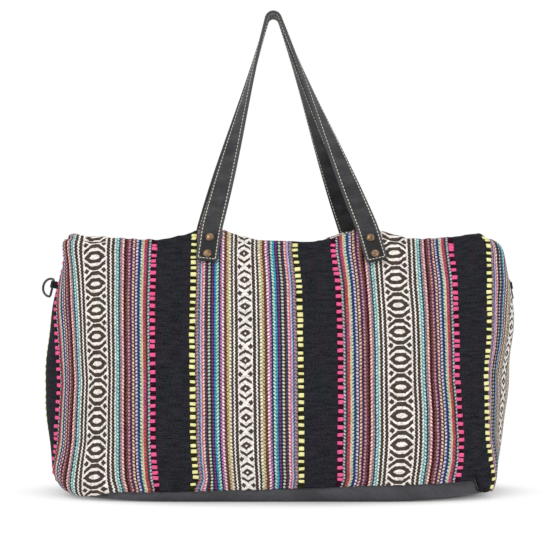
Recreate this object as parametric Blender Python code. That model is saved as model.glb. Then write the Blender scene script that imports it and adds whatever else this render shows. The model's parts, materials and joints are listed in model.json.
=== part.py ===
"""A striped woven duffle bag with riveted leather handles.

The bag is a hollow shell of cloth: a front and a back woven panel that meet in a seam at the
middle of each end, a canvas base, a lining, and a coil zip along the top. Two leather handles
rise from riveted tabs, and a ring hangs from a webbing tab in each end seam.

Metres, +Z up, +X to the wearer's right, the front faces -Y. The origin is the centre of the
base, on the surface that the bag stands on.
"""

import math

import bmesh
import bpy
import numpy as np
from mathutils import Matrix, Vector
from mathutils.bvhtree import BVHTree

# Body
BAG_HEIGHT = 0.304
BASE_HALF_LEFT = 0.232
BASE_HALF_RIGHT = 0.247
TOP_HALF_LEFT = 0.231
TOP_HALF_RIGHT = 0.229
END_BULGE_LEFT = 0.038
END_BULGE_RIGHT = 0.033
END_SKEW_LEFT = -0.2
END_SKEW_RIGHT = 0.75
BASE_HALF_DEPTH = 0.098
TOP_HALF_DEPTH = 0.096
FACE_BULGE = 0.024
SHOULDER_RADIUS = 0.007
BELLY_SQUARENESS = 5.4
EDGE_SQUARENESS = 8.0
TOP_SAG = 0.009
HANDLE_LIFT = 0.015
LIFT_REACH = 0.036
CANVAS_RISE_LEFT = 0.009
CANVAS_RISE_RIGHT = 0.019

# Cloth
WOVEN_THICKNESS = 0.0020
CANVAS_THICKNESS = 0.0014
LINING_THICKNESS = 0.0008
SEAM_GAP = 0.0003
CLEARANCE = 0.0003

# Zip
ZIP_DROP = 0.014
ZIP_SLOT_HALF_WIDTH = 0.0070
ZIP_SLOT_HALF_LENGTH = 0.188
ZIP_TAPE_THICKNESS = 0.0008
ZIP_TAPE_WIDTH = 0.011
ZIP_TAPE_OVERRUN = 0.006
COIL_HALF_WIDTH = 0.0030
COIL_SPINE = 0.0016
COIL_THICKNESS = 0.0022
COIL_PITCH = 0.0050
COIL_TOOTH = 0.0020
COIL_TIP_SHARE = 0.7
STOP_LENGTH = 0.005
STOP_INSET = 0.0025
SLIDER_LENGTH = 0.011
SLIDER_WIDTH = 0.0100
SLIDER_PLATE = 0.0012
SLIDER_REST_INSET = 0.009
SLIDER_TAIL_SHARE = 0.72
SLIDER_MOUTH_SHARE = 0.86
SLIDER_SHOULDER_SHARE = 0.2
PULL_LENGTH = 0.022
PULL_WIDTH = 0.0075
PULL_THICKNESS = 0.0016
PULL_HEAD_SHARE = 0.72
PULL_CHEEK_SHARE = 0.7
PULL_TIP_SHARE = 0.25
PULL_TAPER_SHARE = 0.3
BAIL_WIRE = 0.0013
BAIL_RISE = 0.0046
BAIL_FOOT_SHARE = 0.375
BAIL_BEVEL_SHARE = 0.6
BAIL_BAR_SHARE = 0.8

# Leather handles
STRAP_WIDTH = 0.025
STRAP_THICKNESS = 0.0035
STRAP_CORNER = 0.0006
TAB_LENGTH = 0.041
TAB_RISE = 0.008
TAB_SEAT_GAP = 0.0006
TAB_TOP_GAP = 0.0006
KNEE_MARGIN = 0.001
HINGE_LEAD = 0.0055
TAB_BEVEL_SHARE = 0.3
TAB_SURVEY_SHARE = 0.7
FRONT_ROOT_LEFT = -0.0765
FRONT_ROOT_RIGHT = 0.1010
BACK_ROOT_LEFT = -0.0905
BACK_ROOT_RIGHT = 0.0890
LEFT_TAB_LEAN = math.radians(7.0)
RIGHT_TAB_LEAN = math.radians(15.0)
HANDLE_RISE = 0.265
APEX_X = -0.006
APEX_INNER_RADIUS = 0.0065
APEX_SPACING = 0.0008
LEAN_EASE = 1.15
TURN_EASE = 1.2

# Rivets
RIVET_RADIUS = 0.0046
RIVET_DOME = 0.0020
RIVET_RIM = 0.0008
RIVET_POST_RADIUS = 0.0014
RIVET_BURR_RADIUS = 0.0042
RIVET_BURR_CROWN_SHARE = 0.6
RIVET_SPACING = 0.0205
RIVET_END_INSET = 0.0085
RIVET_SEAT_SLACK = 0.0010

# Rings
RING_BELOW_TOP = 0.061
RING_WIRE_RADIUS = 0.0014
RING_HEIGHT = 0.0245
RING_DEPTH = 0.0165
RING_SLACK = 0.0007
RING_TAB_WIDTH = 0.0085
RING_TAB_THICKNESS = 0.0012
LEFT_STAND_OFF = 0.0125
RIGHT_STAND_OFF = 0.0068
RING_BAR_SHARE = 0.94
RING_BOW_FULLNESS = 0.8
LEFT_RING_TURN = math.radians(-31.0)
RIGHT_RING_TURN = math.radians(84.0)

# Fineness
HALF_COLUMNS = 32
WALL_ROWS = 8
SHOULDER_ROWS = 2
LINING_ROWS = 4
STRAP_LEG_STEPS = 14
STRAP_ARC_STEPS = 8
RIVET_SIDES = 10

EVEN_COLUMN_SHARE = 0.62
EVEN_ROW_SHARE = 0.45
CANVAS_RISES = (0.0, 0.25, 0.6, 1.0)
CANVAS_TURN_SHARE = 1.5
SEAM_SHARE = 0.04
SEAM_SURVEY_SHARE = 0.03
HEM_MARGIN = 0.003
LINING_FLOOR_INSET = 0.004
LINING_OPENING_SHARE = 0.45

WALL_HEIGHT = BAG_HEIGHT - SHOULDER_RADIUS
ZIP_LEVEL = BAG_HEIGHT - ZIP_DROP
TAB_TOP_HEIGHT = BAG_HEIGHT + TAB_RISE
HANDLE_TOP = BAG_HEIGHT + HANDLE_RISE
RING_LEVEL = BAG_HEIGHT - RING_BELOW_TOP
SLOT_LEVEL = ZIP_LEVEL + ZIP_TAPE_THICKNESS / 2 + CLEARANCE + WOVEN_THICKNESS
RING_DROP = RING_HEIGHT / 2 - 2 * RING_WIRE_RADIUS - RING_TAB_WIDTH / 2 - RING_SLACK
LINING_INSET = WOVEN_THICKNESS + ZIP_TAPE_THICKNESS + 3 * CLEARANCE


def clear_scene():
    """Remove whatever the file starts with."""
    for obj in list(bpy.data.objects):
        bpy.data.objects.remove(obj, do_unlink=True)


def material(name, colour, roughness, metallic=0.0):
    """A Principled material, made once for each name."""
    found = bpy.data.materials.get(name)
    if found:
        return found
    made = bpy.data.materials.new(name)
    made.use_nodes = True
    shader = made.node_tree.nodes["Principled BSDF"]
    shader.inputs["Base Color"].default_value = (*colour, 1.0)
    shader.inputs["Roughness"].default_value = roughness
    shader.inputs["Metallic"].default_value = metallic
    return made


def woven():
    return material("striped_weave", (0.16, 0.10, 0.12), 0.9)


def canvas():
    return material("charcoal_canvas", (0.05, 0.05, 0.055), 0.9)


def lining_cloth():
    return material("lining_cotton", (0.03, 0.03, 0.035), 0.85)


def leather():
    return material("black_leather", (0.025, 0.025, 0.028), 0.5)


def zip_tape_cloth():
    return material("zip_tape", (0.02, 0.02, 0.02), 0.85)


def zip_nylon():
    return material("zip_nylon", (0.02, 0.02, 0.02), 0.4)


def gunmetal():
    return material("gunmetal", (0.12, 0.11, 0.10), 0.35, 1.0)


def antique_brass():
    return material("antique_brass", (0.30, 0.17, 0.08), 0.4, 1.0)


def add_object(name, bm, finish, parent=None, smooth_angle=math.radians(40)):
    """Put a finished bmesh in the scene as one named object."""
    bmesh.ops.recalc_face_normals(bm, faces=bm.faces)
    mesh = bpy.data.meshes.new(name)
    bm.to_mesh(mesh)
    bm.free()
    mesh.shade_smooth()
    mesh.set_sharp_from_angle(angle=smooth_angle)
    mesh.materials.append(finish)
    obj = bpy.data.objects.new(name, mesh)
    bpy.context.scene.collection.objects.link(obj)
    if parent:
        obj.parent = parent
        obj.matrix_parent_inverse = parent.matrix_world.inverted()
    return obj


def add_pivot(name, location, rotation=None):
    """An empty on a joint's axis, which carries what turns about it."""
    pivot = bpy.data.objects.new(name, None)
    pivot.empty_display_size = 0.01
    bpy.context.scene.collection.objects.link(pivot)
    matrix = rotation.to_4x4() if rotation else Matrix.Identity(4)
    pivot.matrix_world = Matrix.Translation(location) @ matrix
    bpy.context.view_layer.update()
    return pivot


def skin_rows(bm, rows, closed):
    """Quads between rows of points, each row closed to a ring or left as a strip."""
    verts = [[bm.verts.new(point) for point in row] for row in rows]
    count = len(verts[0])
    last = count if closed else count - 1
    for lower, upper in zip(verts, verts[1:]):
        for i in range(last):
            j = (i + 1) % count
            bm.faces.new((lower[i], lower[j], upper[j], upper[i]))
    return verts


def loft(rings, loop=False):
    """A closed body through rings of points, capped at both ends or joined end to start."""
    bm = bmesh.new()
    verts = skin_rows(bm, rings, closed=True)
    if loop:
        for i in range(len(verts[0])):
            j = (i + 1) % len(verts[0])
            bm.faces.new((verts[-1][i], verts[-1][j], verts[0][j], verts[0][i]))
    else:
        bm.faces.new(verts[0])
        bm.faces.new(verts[-1])
    return bm


def extruded(outline, depth):
    """A closed outline in XY made a body from z = -depth / 2 to depth / 2."""
    bm = bmesh.new()
    face = bm.faces.new([bm.verts.new((x, y, -depth / 2)) for x, y in outline])
    lifted = bmesh.ops.extrude_face_region(bm, geom=[face])["geom"]
    verts = [item for item in lifted if isinstance(item, bmesh.types.BMVert)]
    bmesh.ops.translate(bm, verts=verts, vec=(0, 0, depth))
    return bm


def revolved(profile, sides):
    """A body turned about Z from (radius, z) points that start and end on the axis."""
    bm = bmesh.new()
    verts = [bm.verts.new((radius, 0, z)) for radius, z in profile]
    edges = [bm.edges.new(pair) for pair in zip(verts, verts[1:])]
    bmesh.ops.spin(bm, geom=verts + edges, cent=(0, 0, 0), axis=(0, 0, 1),
                   angle=math.tau, steps=sides, use_duplicate=False)
    bmesh.ops.remove_doubles(bm, verts=bm.verts, dist=1e-6)
    return bm


def block(size, centre=(0, 0, 0)):
    """A box of the given size."""
    bm = bmesh.new()
    bmesh.ops.create_cube(bm, size=1.0)
    bmesh.ops.scale(bm, vec=size, verts=bm.verts)
    bmesh.ops.translate(bm, vec=centre, verts=bm.verts)
    return bm


def joined(parts):
    """Several bodies in one bmesh, left as separate solids."""
    whole = bmesh.new()
    for part in parts:
        mesh = bpy.data.meshes.new("piece")
        bmesh.ops.recalc_face_normals(part, faces=part.faces)
        part.to_mesh(mesh)
        part.free()
        whole.from_mesh(mesh)
        bpy.data.meshes.remove(mesh)
    return whole


def cut(obj, cutter):
    """Take the cutter's volume out of the object."""
    cutter.hide_render = True
    cutter.display_type = "WIRE"
    modifier = obj.modifiers.new("cut", "BOOLEAN")
    modifier.operation = "DIFFERENCE"
    modifier.solver = "EXACT"
    modifier.object = cutter


def bulge(share):
    """How far the filled bag swells at a share of its height, 0 at the edges and 1 in the middle."""
    return math.sqrt(max(0.0, 1.0 - (2.0 * share - 1.0) ** 2))


def blend(start, end, share):
    return start + (end - start) * share


def top_drop(x, y):
    """How far the top edge hangs below its corners, less what each handle of that side lifts."""
    half = TOP_HALF_LEFT if x < 0 else TOP_HALF_RIGHT
    sag = TOP_SAG * (1.0 - min(1.0, abs(x) / half) ** 4)
    roots = (FRONT_ROOT_LEFT, FRONT_ROOT_RIGHT) if y < 0 else (BACK_ROOT_LEFT, BACK_ROOT_RIGHT)
    lift = sum(math.exp(-(((x - root) / LIFT_REACH) ** 2)) for root in roots)
    return sag - HANDLE_LIFT * lift


def canvas_rise(x):
    """Height of the seam between canvas and weave, which climbs to the right."""
    share = 0.5 + 0.5 * math.sin(max(-1.0, min(1.0, x / TOP_HALF_RIGHT)) * math.pi / 2)
    return blend(CANVAS_RISE_LEFT, CANVAS_RISE_RIGHT, share)


def ring_place(angle, left, right, half_depth, squareness):
    """Plan position at an angle round a rounded-box section, 0 at the left end, pi at the right."""
    cosine = -math.cos(angle)
    sine = -math.sin(angle)
    x = math.copysign(abs(cosine) ** (2 / squareness), cosine)
    y = math.copysign(abs(sine) ** (2 / squareness), sine)
    return x * (left if x < 0 else right), y * half_depth


def wall_place(angle, share):
    """Plan position on the wall at a share of the wall's height."""
    swell = bulge(share)
    swell_left = END_BULGE_LEFT * swell * (1 + END_SKEW_LEFT * (2 * share - 1))
    left = blend(BASE_HALF_LEFT, TOP_HALF_LEFT, share) + swell_left
    swell_right = END_BULGE_RIGHT * swell * (1 + END_SKEW_RIGHT * (2 * share - 1))
    right = blend(BASE_HALF_RIGHT, TOP_HALF_RIGHT, share) + swell_right
    depth = blend(BASE_HALF_DEPTH, TOP_HALF_DEPTH, share) + FACE_BULGE * swell
    squareness = blend(EDGE_SQUARENESS, BELLY_SQUARENESS, swell)
    return ring_place(angle, left, right, depth, squareness)


def wall_point(angle, share):
    """A point on the outside of the wall."""
    x, y = wall_place(angle, share)
    return np.array((x, y, share * WALL_HEIGHT - top_drop(x, y) * share**2))


def top_point(angle, left, right, half_depth, settle):
    """A point on the shoulder or the top, settled from the hanging edge to the zip's level."""
    x, y = ring_place(angle, left, right, half_depth, EDGE_SQUARENESS)
    edge = BAG_HEIGHT - top_drop(x, y)
    return np.array((x, y, blend(edge, SLOT_LEVEL, settle)))


def ring_angles():
    """Angles round half the bag, closer together where the corners turn."""
    fine = np.linspace(0.0, math.pi, 1201)
    points = np.array([wall_point(angle, 0.5)[:2] for angle in fine])
    steps = np.diff(points, axis=0)
    length = np.concatenate(([0.0], np.cumsum(np.hypot(*steps.T))))
    heading = np.unwrap(np.arctan2(steps[:, 1], steps[:, 0]))
    turned = np.concatenate(([0.0, 0.0], np.cumsum(np.abs(np.diff(heading)))))
    travel = blend(turned / turned[-1], length / length[-1], EVEN_COLUMN_SHARE)
    return np.interp(np.linspace(0.0, 1.0, HALF_COLUMNS + 1), travel, fine)


def all_angles():
    """Angles once round the bag, the back mirroring the front."""
    front = ring_angles()
    return np.concatenate((front, 2 * math.pi - front[1:-1][::-1]))


def canvas_rows(angles):
    """The base's side from the floor up to its seam with the weave."""
    rows = []
    for rise in CANVAS_RISES:
        heights = [rise * canvas_rise(wall_place(angle, SEAM_SHARE)[0]) for angle in angles]
        rows.append([wall_point(angle, height / WALL_HEIGHT)
                     for angle, height in zip(angles, heights)])
    return rows


def wall_rows(angles):
    """The woven wall from the canvas seam to the shoulder, closer together near both edges."""
    rows = []
    for row in range(WALL_ROWS + 1):
        rise = row / WALL_ROWS
        spread = blend((1 - math.cos(rise * math.pi)) / 2, rise, EVEN_ROW_SHARE)
        points = []
        for angle in angles:
            low = (canvas_rise(wall_place(angle, SEAM_SHARE)[0]) + SEAM_GAP) / WALL_HEIGHT
            points.append(wall_point(angle, blend(low, 1.0, spread)))
        rows.append(points)
    return rows


def hem_length():
    """Half of the length of the hem round the zip, which covers the ends of its tapes."""
    return ZIP_SLOT_HALF_LENGTH + ZIP_TAPE_OVERRUN + HEM_MARGIN


def top_rows(angles):
    """The shoulder, and the top from there to the zip slot."""
    rows = []
    for row in range(1, SHOULDER_ROWS + 1):
        turn = row / SHOULDER_ROWS * math.pi / 2
        inset = SHOULDER_RADIUS * (1 - math.cos(turn))
        sink = SHOULDER_RADIUS * (1 - math.sin(turn))
        rows.append([top_point(angle, TOP_HALF_LEFT - inset, TOP_HALF_RIGHT - inset,
                               TOP_HALF_DEPTH - inset, 0.0) - (0, 0, sink) for angle in angles])
    hem_width = ZIP_SLOT_HALF_WIDTH + ZIP_TAPE_WIDTH
    hem = (hem_length(), hem_length(), hem_width, 1.0)
    edge = (TOP_HALF_LEFT - SHOULDER_RADIUS, TOP_HALF_RIGHT - SHOULDER_RADIUS, TOP_HALF_DEPTH, 0.0)
    middle = [blend(outer, inner, 0.5) for outer, inner in zip(edge, hem)]
    slot = (ZIP_SLOT_HALF_LENGTH, ZIP_SLOT_HALF_LENGTH, ZIP_SLOT_HALF_WIDTH, 1.0)
    for left, right, half_depth, settle in (middle, hem, slot):
        rows.append([top_point(angle, left, right, half_depth, settle) for angle in angles])
    return rows


class Body:
    """The bag's outer surface as rows of points once round, and what lies at a depth under it."""

    def __init__(self):
        angles = all_angles()
        canvas_part = canvas_rows(angles)
        self.outside = np.array(canvas_part + wall_rows(angles) + top_rows(angles))
        self.seam = len(canvas_part)
        along = np.roll(self.outside, -1, axis=1) - np.roll(self.outside, 1, axis=1)
        up = np.gradient(self.outside, axis=0)
        up[self.seam - 1:self.seam + 1] = self.outside[self.seam + 1] - self.outside[self.seam - 2]
        normal = np.cross(along, up)
        self.normal = normal / np.linalg.norm(normal, axis=2, keepdims=True)

    def under(self, depth):
        """The surface at a depth under the outside."""
        return self.outside - self.normal * depth


def half_strip(grid, side):
    """The front (-1) or the back (+1) half of a grid, clear of the end seams."""
    if side < 0:
        half = grid[:, :HALF_COLUMNS + 1]
    else:
        half = np.concatenate((grid[:, HALF_COLUMNS:], grid[:, :1]), axis=1)
    return half + (0, side * SEAM_GAP / 2, 0)


def shell_strip(outer, inner):
    """A sheet of cloth between two grids of points, with all four of its edges closed."""
    bm = bmesh.new()
    near = skin_rows(bm, outer.tolist(), closed=False)
    far = skin_rows(bm, inner.tolist(), closed=False)
    rims = [(near[0], far[0]), (near[-1], far[-1]),
            ([row[0] for row in near], [row[0] for row in far]),
            ([row[-1] for row in near], [row[-1] for row in far])]
    for first, second in rims:
        for index in range(len(first) - 1):
            bm.faces.new((first[index], first[index + 1], second[index + 1], second[index]))
    return bm


def shell_tub(outer, inner):
    """A tub of cloth between two grids that run once round: floored below, its rim closed above."""
    bm = bmesh.new()
    near = skin_rows(bm, outer.tolist(), closed=True)
    far = skin_rows(bm, inner.tolist(), closed=True)
    bm.faces.new(near[0])
    bm.faces.new(far[0])
    for index, first in enumerate(near[-1]):
        after = (index + 1) % len(near[-1])
        bm.faces.new((first, near[-1][after], far[-1][after], far[-1][index]))
    return bm


def woven_panel(name, body, side):
    """One woven half: its wall, its half of each end and its half of the top."""
    outer = half_strip(body.outside[body.seam:], side)
    inner = half_strip(body.under(WOVEN_THICKNESS)[body.seam:], side)
    return add_object(name, shell_strip(outer, inner), woven())


def base_panel(body):
    """The canvas base: a flat bottom whose edge turns up to the seam with the weave."""
    outer = body.outside[:body.seam]
    inner = body.under(CANVAS_THICKNESS)[:body.seam]
    inner[0, :, 2] = CANVAS_THICKNESS
    inner[1, :, 2] = np.maximum(inner[1, :, 2], CANVAS_THICKNESS * CANVAS_TURN_SHARE)
    return add_object("base_panel", shell_tub(outer, inner), canvas())


def lining(body):
    """The cotton lining, hung inside the cloth from the zip tapes, with its own flat bottom."""
    floor_inset = CANVAS_THICKNESS + LINING_FLOOR_INSET
    shells = []
    for depth, level in ((LINING_INSET, CANVAS_THICKNESS + CLEARANCE),
                         (LINING_INSET + LINING_THICKNESS,
                          CANVAS_THICKNESS + CLEARANCE + LINING_THICKNESS)):
        surface = body.under(depth)
        more = depth - LINING_INSET
        floor = []
        for angle in all_angles():
            x, y = ring_place(angle, BASE_HALF_LEFT - floor_inset - more,
                              BASE_HALF_RIGHT - floor_inset - more,
                              BASE_HALF_DEPTH - floor_inset - more, EDGE_SQUARENESS)
            floor.append((x, y, level))
        hem = surface[-2].copy()
        hem[:, 2] = ZIP_LEVEL - ZIP_TAPE_THICKNESS / 2 - CLEARANCE - more
        opening = hem.copy()
        opening[:, 0] *= (ZIP_SLOT_HALF_LENGTH + HEM_MARGIN) / hem_length()
        half_opening = ZIP_SLOT_HALF_WIDTH + ZIP_TAPE_WIDTH * LINING_OPENING_SHARE
        opening[:, 1] *= half_opening / (ZIP_SLOT_HALF_WIDTH + ZIP_TAPE_WIDTH)
        shoulder = body.seam + WALL_ROWS
        walls = surface[body.seam + 1:shoulder:WALL_ROWS // LINING_ROWS]
        shells.append(np.array([floor, *walls, *surface[shoulder:-2], hem, opening]))
    return add_object("lining", shell_tub(*shells), lining_cloth())


def zip_tape(name, side):
    """One zip tape, a flat strip under the panel's hem that carries one coil."""
    width = ZIP_TAPE_WIDTH
    inner = COIL_HALF_WIDTH + CLEARANCE
    length = 2 * (ZIP_SLOT_HALF_LENGTH + ZIP_TAPE_OVERRUN)
    centre = (0, side * (inner + width / 2), ZIP_LEVEL)
    return add_object(name, block((length, width, ZIP_TAPE_THICKNESS), centre), zip_tape_cloth())


def zip_coil(name, side):
    """One coil of the zip: a sewn spine with elements that reach between those facing it."""
    half_run = ZIP_SLOT_HALF_LENGTH - STOP_INSET - STOP_LENGTH - CLEARANCE
    reach = -(COIL_SPINE - CLEARANCE)
    count = int(2 * half_run / COIL_PITCH) - 1
    start = -COIL_PITCH * (count - 1) / 2 + side * COIL_PITCH / 4
    outline = [(-half_run, COIL_HALF_WIDTH), (-half_run, COIL_SPINE)]
    for index in range(count):
        middle = start + index * COIL_PITCH
        for x, y in ((-1, COIL_SPINE), (-COIL_TIP_SHARE, reach),
                     (COIL_TIP_SHARE, reach), (1, COIL_SPINE)):
            outline.append((middle + x * COIL_TOOTH / 2, y))
    outline += [(half_run, COIL_SPINE), (half_run, COIL_HALF_WIDTH)]
    bm = extruded([(x, side * y) for x, y in outline], COIL_THICKNESS)
    bmesh.ops.translate(bm, vec=(0, 0, ZIP_LEVEL), verts=bm.verts)
    return add_object(name, bm, zip_nylon())


def zip_stop(name, end):
    """The metal stop that closes the chain at one end."""
    centre = (end * (ZIP_SLOT_HALF_LENGTH - STOP_INSET - STOP_LENGTH / 2), 0, ZIP_LEVEL)
    size = (STOP_LENGTH, 2 * COIL_HALF_WIDTH, COIL_THICKNESS)
    return add_object(name, block(size, centre), gunmetal())


def slider_place():
    """The slider's middle when the zip is shut."""
    reach = ZIP_SLOT_HALF_LENGTH - STOP_INSET - STOP_LENGTH - SLIDER_REST_INSET
    return Vector((reach, 0, ZIP_LEVEL))


def slider_outline():
    """A slider plate in plan, wide at the mouth and narrow at the tail."""
    half = SLIDER_LENGTH / 2
    wide = SLIDER_WIDTH / 2
    upper = [(half, wide * SLIDER_MOUTH_SHARE), (half * SLIDER_SHOULDER_SHARE, wide),
             (-half, wide * SLIDER_TAIL_SHARE)]
    return [(x, -y) for x, y in reversed(upper)] + upper


def slider_plate(name, side, pivot):
    """The slider's upper (+1) or lower (-1) plate."""
    lift = COIL_THICKNESS / 2 + CLEARANCE + SLIDER_PLATE / 2
    bm = extruded(slider_outline(), SLIDER_PLATE)
    bmesh.ops.translate(bm, vec=pivot.location + Vector((0, 0, side * lift)), verts=bm.verts)
    return add_object(name, bm, gunmetal(), parent=pivot)


def bail_foot():
    """Half of the bail's length, between the outsides of its feet."""
    return SLIDER_LENGTH * BAIL_FOOT_SHARE


def add_bail(slider, pivot):
    """Join the bail, an arch of wire along the slider, to the upper plate."""
    top = COIL_THICKNESS / 2 + CLEARANCE + SLIDER_PLATE
    foot = bail_foot()
    root = top - SLIDER_PLATE / 4
    crown = top + BAIL_RISE
    inside = crown - BAIL_WIRE
    bevel = BAIL_WIRE * BAIL_BEVEL_SHARE
    right = [(foot - BAIL_WIRE, inside), (foot - BAIL_WIRE, root), (foot, root),
             (foot, crown - bevel), (foot - bevel, crown)]
    outline = right + [(-x, z) for x, z in reversed(right)]
    bm = extruded(outline, BAIL_WIRE)
    turn = Matrix.Rotation(math.pi / 2, 3, "X")
    bmesh.ops.rotate(bm, cent=(0, 0, 0), matrix=turn, verts=bm.verts)
    bmesh.ops.translate(bm, vec=pivot.location, verts=bm.verts)
    bail = add_object("bail_guide", bm, gunmetal())
    bail.hide_render = True
    bail.display_type = "WIRE"
    union = slider.modifiers.new("bail", "BOOLEAN")
    union.operation = "UNION"
    union.solver = "EXACT"
    union.object = bail


def zip_pull(slide):
    """The flat pull, lying back along the zip with the bail through its eye."""
    bar = BAIL_WIRE * BAIL_BAR_SHARE
    lift = COIL_THICKNESS / 2 + SLIDER_PLATE + 2 * CLEARANCE + bar
    place = slide.location + Vector((0, 0, lift))
    pivot = add_pivot("pull_pivot", place)
    half = PULL_WIDTH / 2
    tip = PULL_LENGTH
    upper = [(bar, half * PULL_HEAD_SHARE), (-bar, half), (half - tip, half),
             (half * PULL_TAPER_SHARE - tip, half * PULL_CHEEK_SHARE), (-tip, half * PULL_TIP_SHARE)]
    outline = upper + [(x, -y) for x, y in reversed(upper)]
    bm = extruded(outline, PULL_THICKNESS)
    bmesh.ops.translate(bm, vec=place, verts=bm.verts)
    pull = add_object("zip_pull", bm, gunmetal(), parent=pivot)
    reach = math.hypot(bail_foot(), BAIL_RISE) + 2 * CLEARANCE
    eye = block((reach - bar, BAIL_WIRE + 4 * CLEARANCE, 2 * PULL_THICKNESS),
                place + Vector((-(reach + bar) / 2, 0, 0)))
    cut(pull, add_object("eye_cutter", eye, gunmetal()))
    return pull


def face_tree(body, side):
    """One face of the bag as facets to measure from, the back one turned to the front."""
    half = half_strip(body.outside[body.seam:], side) * (1, -side, 1)
    rows, columns, _ = half.shape
    faces = [(r * columns + c, r * columns + c + 1, (r + 1) * columns + c + 1, (r + 1) * columns + c)
             for r in range(rows - 1) for c in range(columns - 1)]
    return BVHTree.FromPolygons(half.reshape(-1, 3).tolist(), faces)


def face_y(tree, roots, height):
    """The most forward y of the face at a height, over the widths that both tabs cover."""
    hits = []
    for x in roots:
        for across in np.linspace(-TAB_SURVEY_SHARE, TAB_SURVEY_SHARE, 7):
            start = Vector((x + across * STRAP_WIDTH, -1.0, height))
            hits.append(tree.ray_cast(start, Vector((0, 1, 0)))[0].y)
    return min(hits)


class StrapSeat:
    """Where a pair of tabs lies on one face, in the plane across the bag."""

    def __init__(self, tree, side, roots):
        low = TAB_TOP_HEIGHT - TAB_LENGTH
        knee = min(WALL_HEIGHT - top_drop(x, side) for x in roots) - KNEE_MARGIN
        profile = [Vector((face_y(tree, roots, height), height))
                   for height in np.linspace(low, knee, 9)]
        run = (profile[-1] - profile[0]).normalized()
        outward = Vector((-run.y, run.x))
        swell = max(outward.dot(point - profile[0]) for point in profile)
        self.foot = profile[0] + outward * (swell + TAB_SEAT_GAP + STRAP_THICKNESS / 2)
        self.run = run
        self.outward = outward

    def at(self, length):
        """(y, z) on the tab's middle plane at a length up from its lower end."""
        return self.foot + self.run * length


def strap_section(width, thickness, corner):
    """The strap's section, across and out, with its corners taken off."""
    half = width / 2
    deep = thickness / 2
    quarter = [(half - corner, deep), (half, deep - corner)]
    right = quarter + [(x, -y) for x, y in reversed(quarter)]
    return right + [(-x, -y) for x, y in right]


def swept(points, across, outward, section):
    """A strap's section carried along points, each with its own directions."""
    return [[tuple(point + a * side + b * out) for a, b in section]
            for point, side, out in zip(points, across, outward)]


def leaned(x_root, y, z, z_root, lean):
    """A point on a leaning strap, whose middle is at x_root where it leaves the tab."""
    return Vector((x_root - (z - z_root) * math.tan(lean), y, z))


def rivet_profile(depth):
    """Half of a rivet: its dome, its rim on the leather and its post, which goes in to a depth."""
    dome = [(0.0, RIVET_RIM + RIVET_DOME)]
    for step in range(1, 4):
        angle = step / 4 * math.pi / 2
        dome.append((RIVET_RADIUS * math.sin(angle), RIVET_RIM + RIVET_DOME * math.cos(angle)))
    rim = [(RIVET_RADIUS, RIVET_RIM), (RIVET_RADIUS, 0.0)]
    return dome + rim + [(RIVET_POST_RADIUS, 0.0), (RIVET_POST_RADIUS, -depth), (0.0, -depth)]


def rivet_burr_profile(depth):
    """Half of a rivet's burr, the inner cap that closes on the end of its post."""
    face = -depth - CLEARANCE
    return [(0.0, face), (RIVET_BURR_RADIUS, face), (RIVET_BURR_RADIUS, face - RIVET_RIM),
            (RIVET_BURR_RADIUS * RIVET_BURR_CROWN_SHARE, face - 2 * RIVET_RIM), (0.0, face - 2 * RIVET_RIM)]


def add_turned(name, profile, place):
    """A turned brass piece put in its place."""
    bm = revolved(profile, RIVET_SIDES)
    bmesh.ops.transform(bm, matrix=place, verts=bm.verts)
    return add_object(name, bm, antique_brass())


def facing(direction, like):
    """The direction, turned round if it points against the other one."""
    return direction if direction.dot(like) > 0 else -direction


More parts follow.
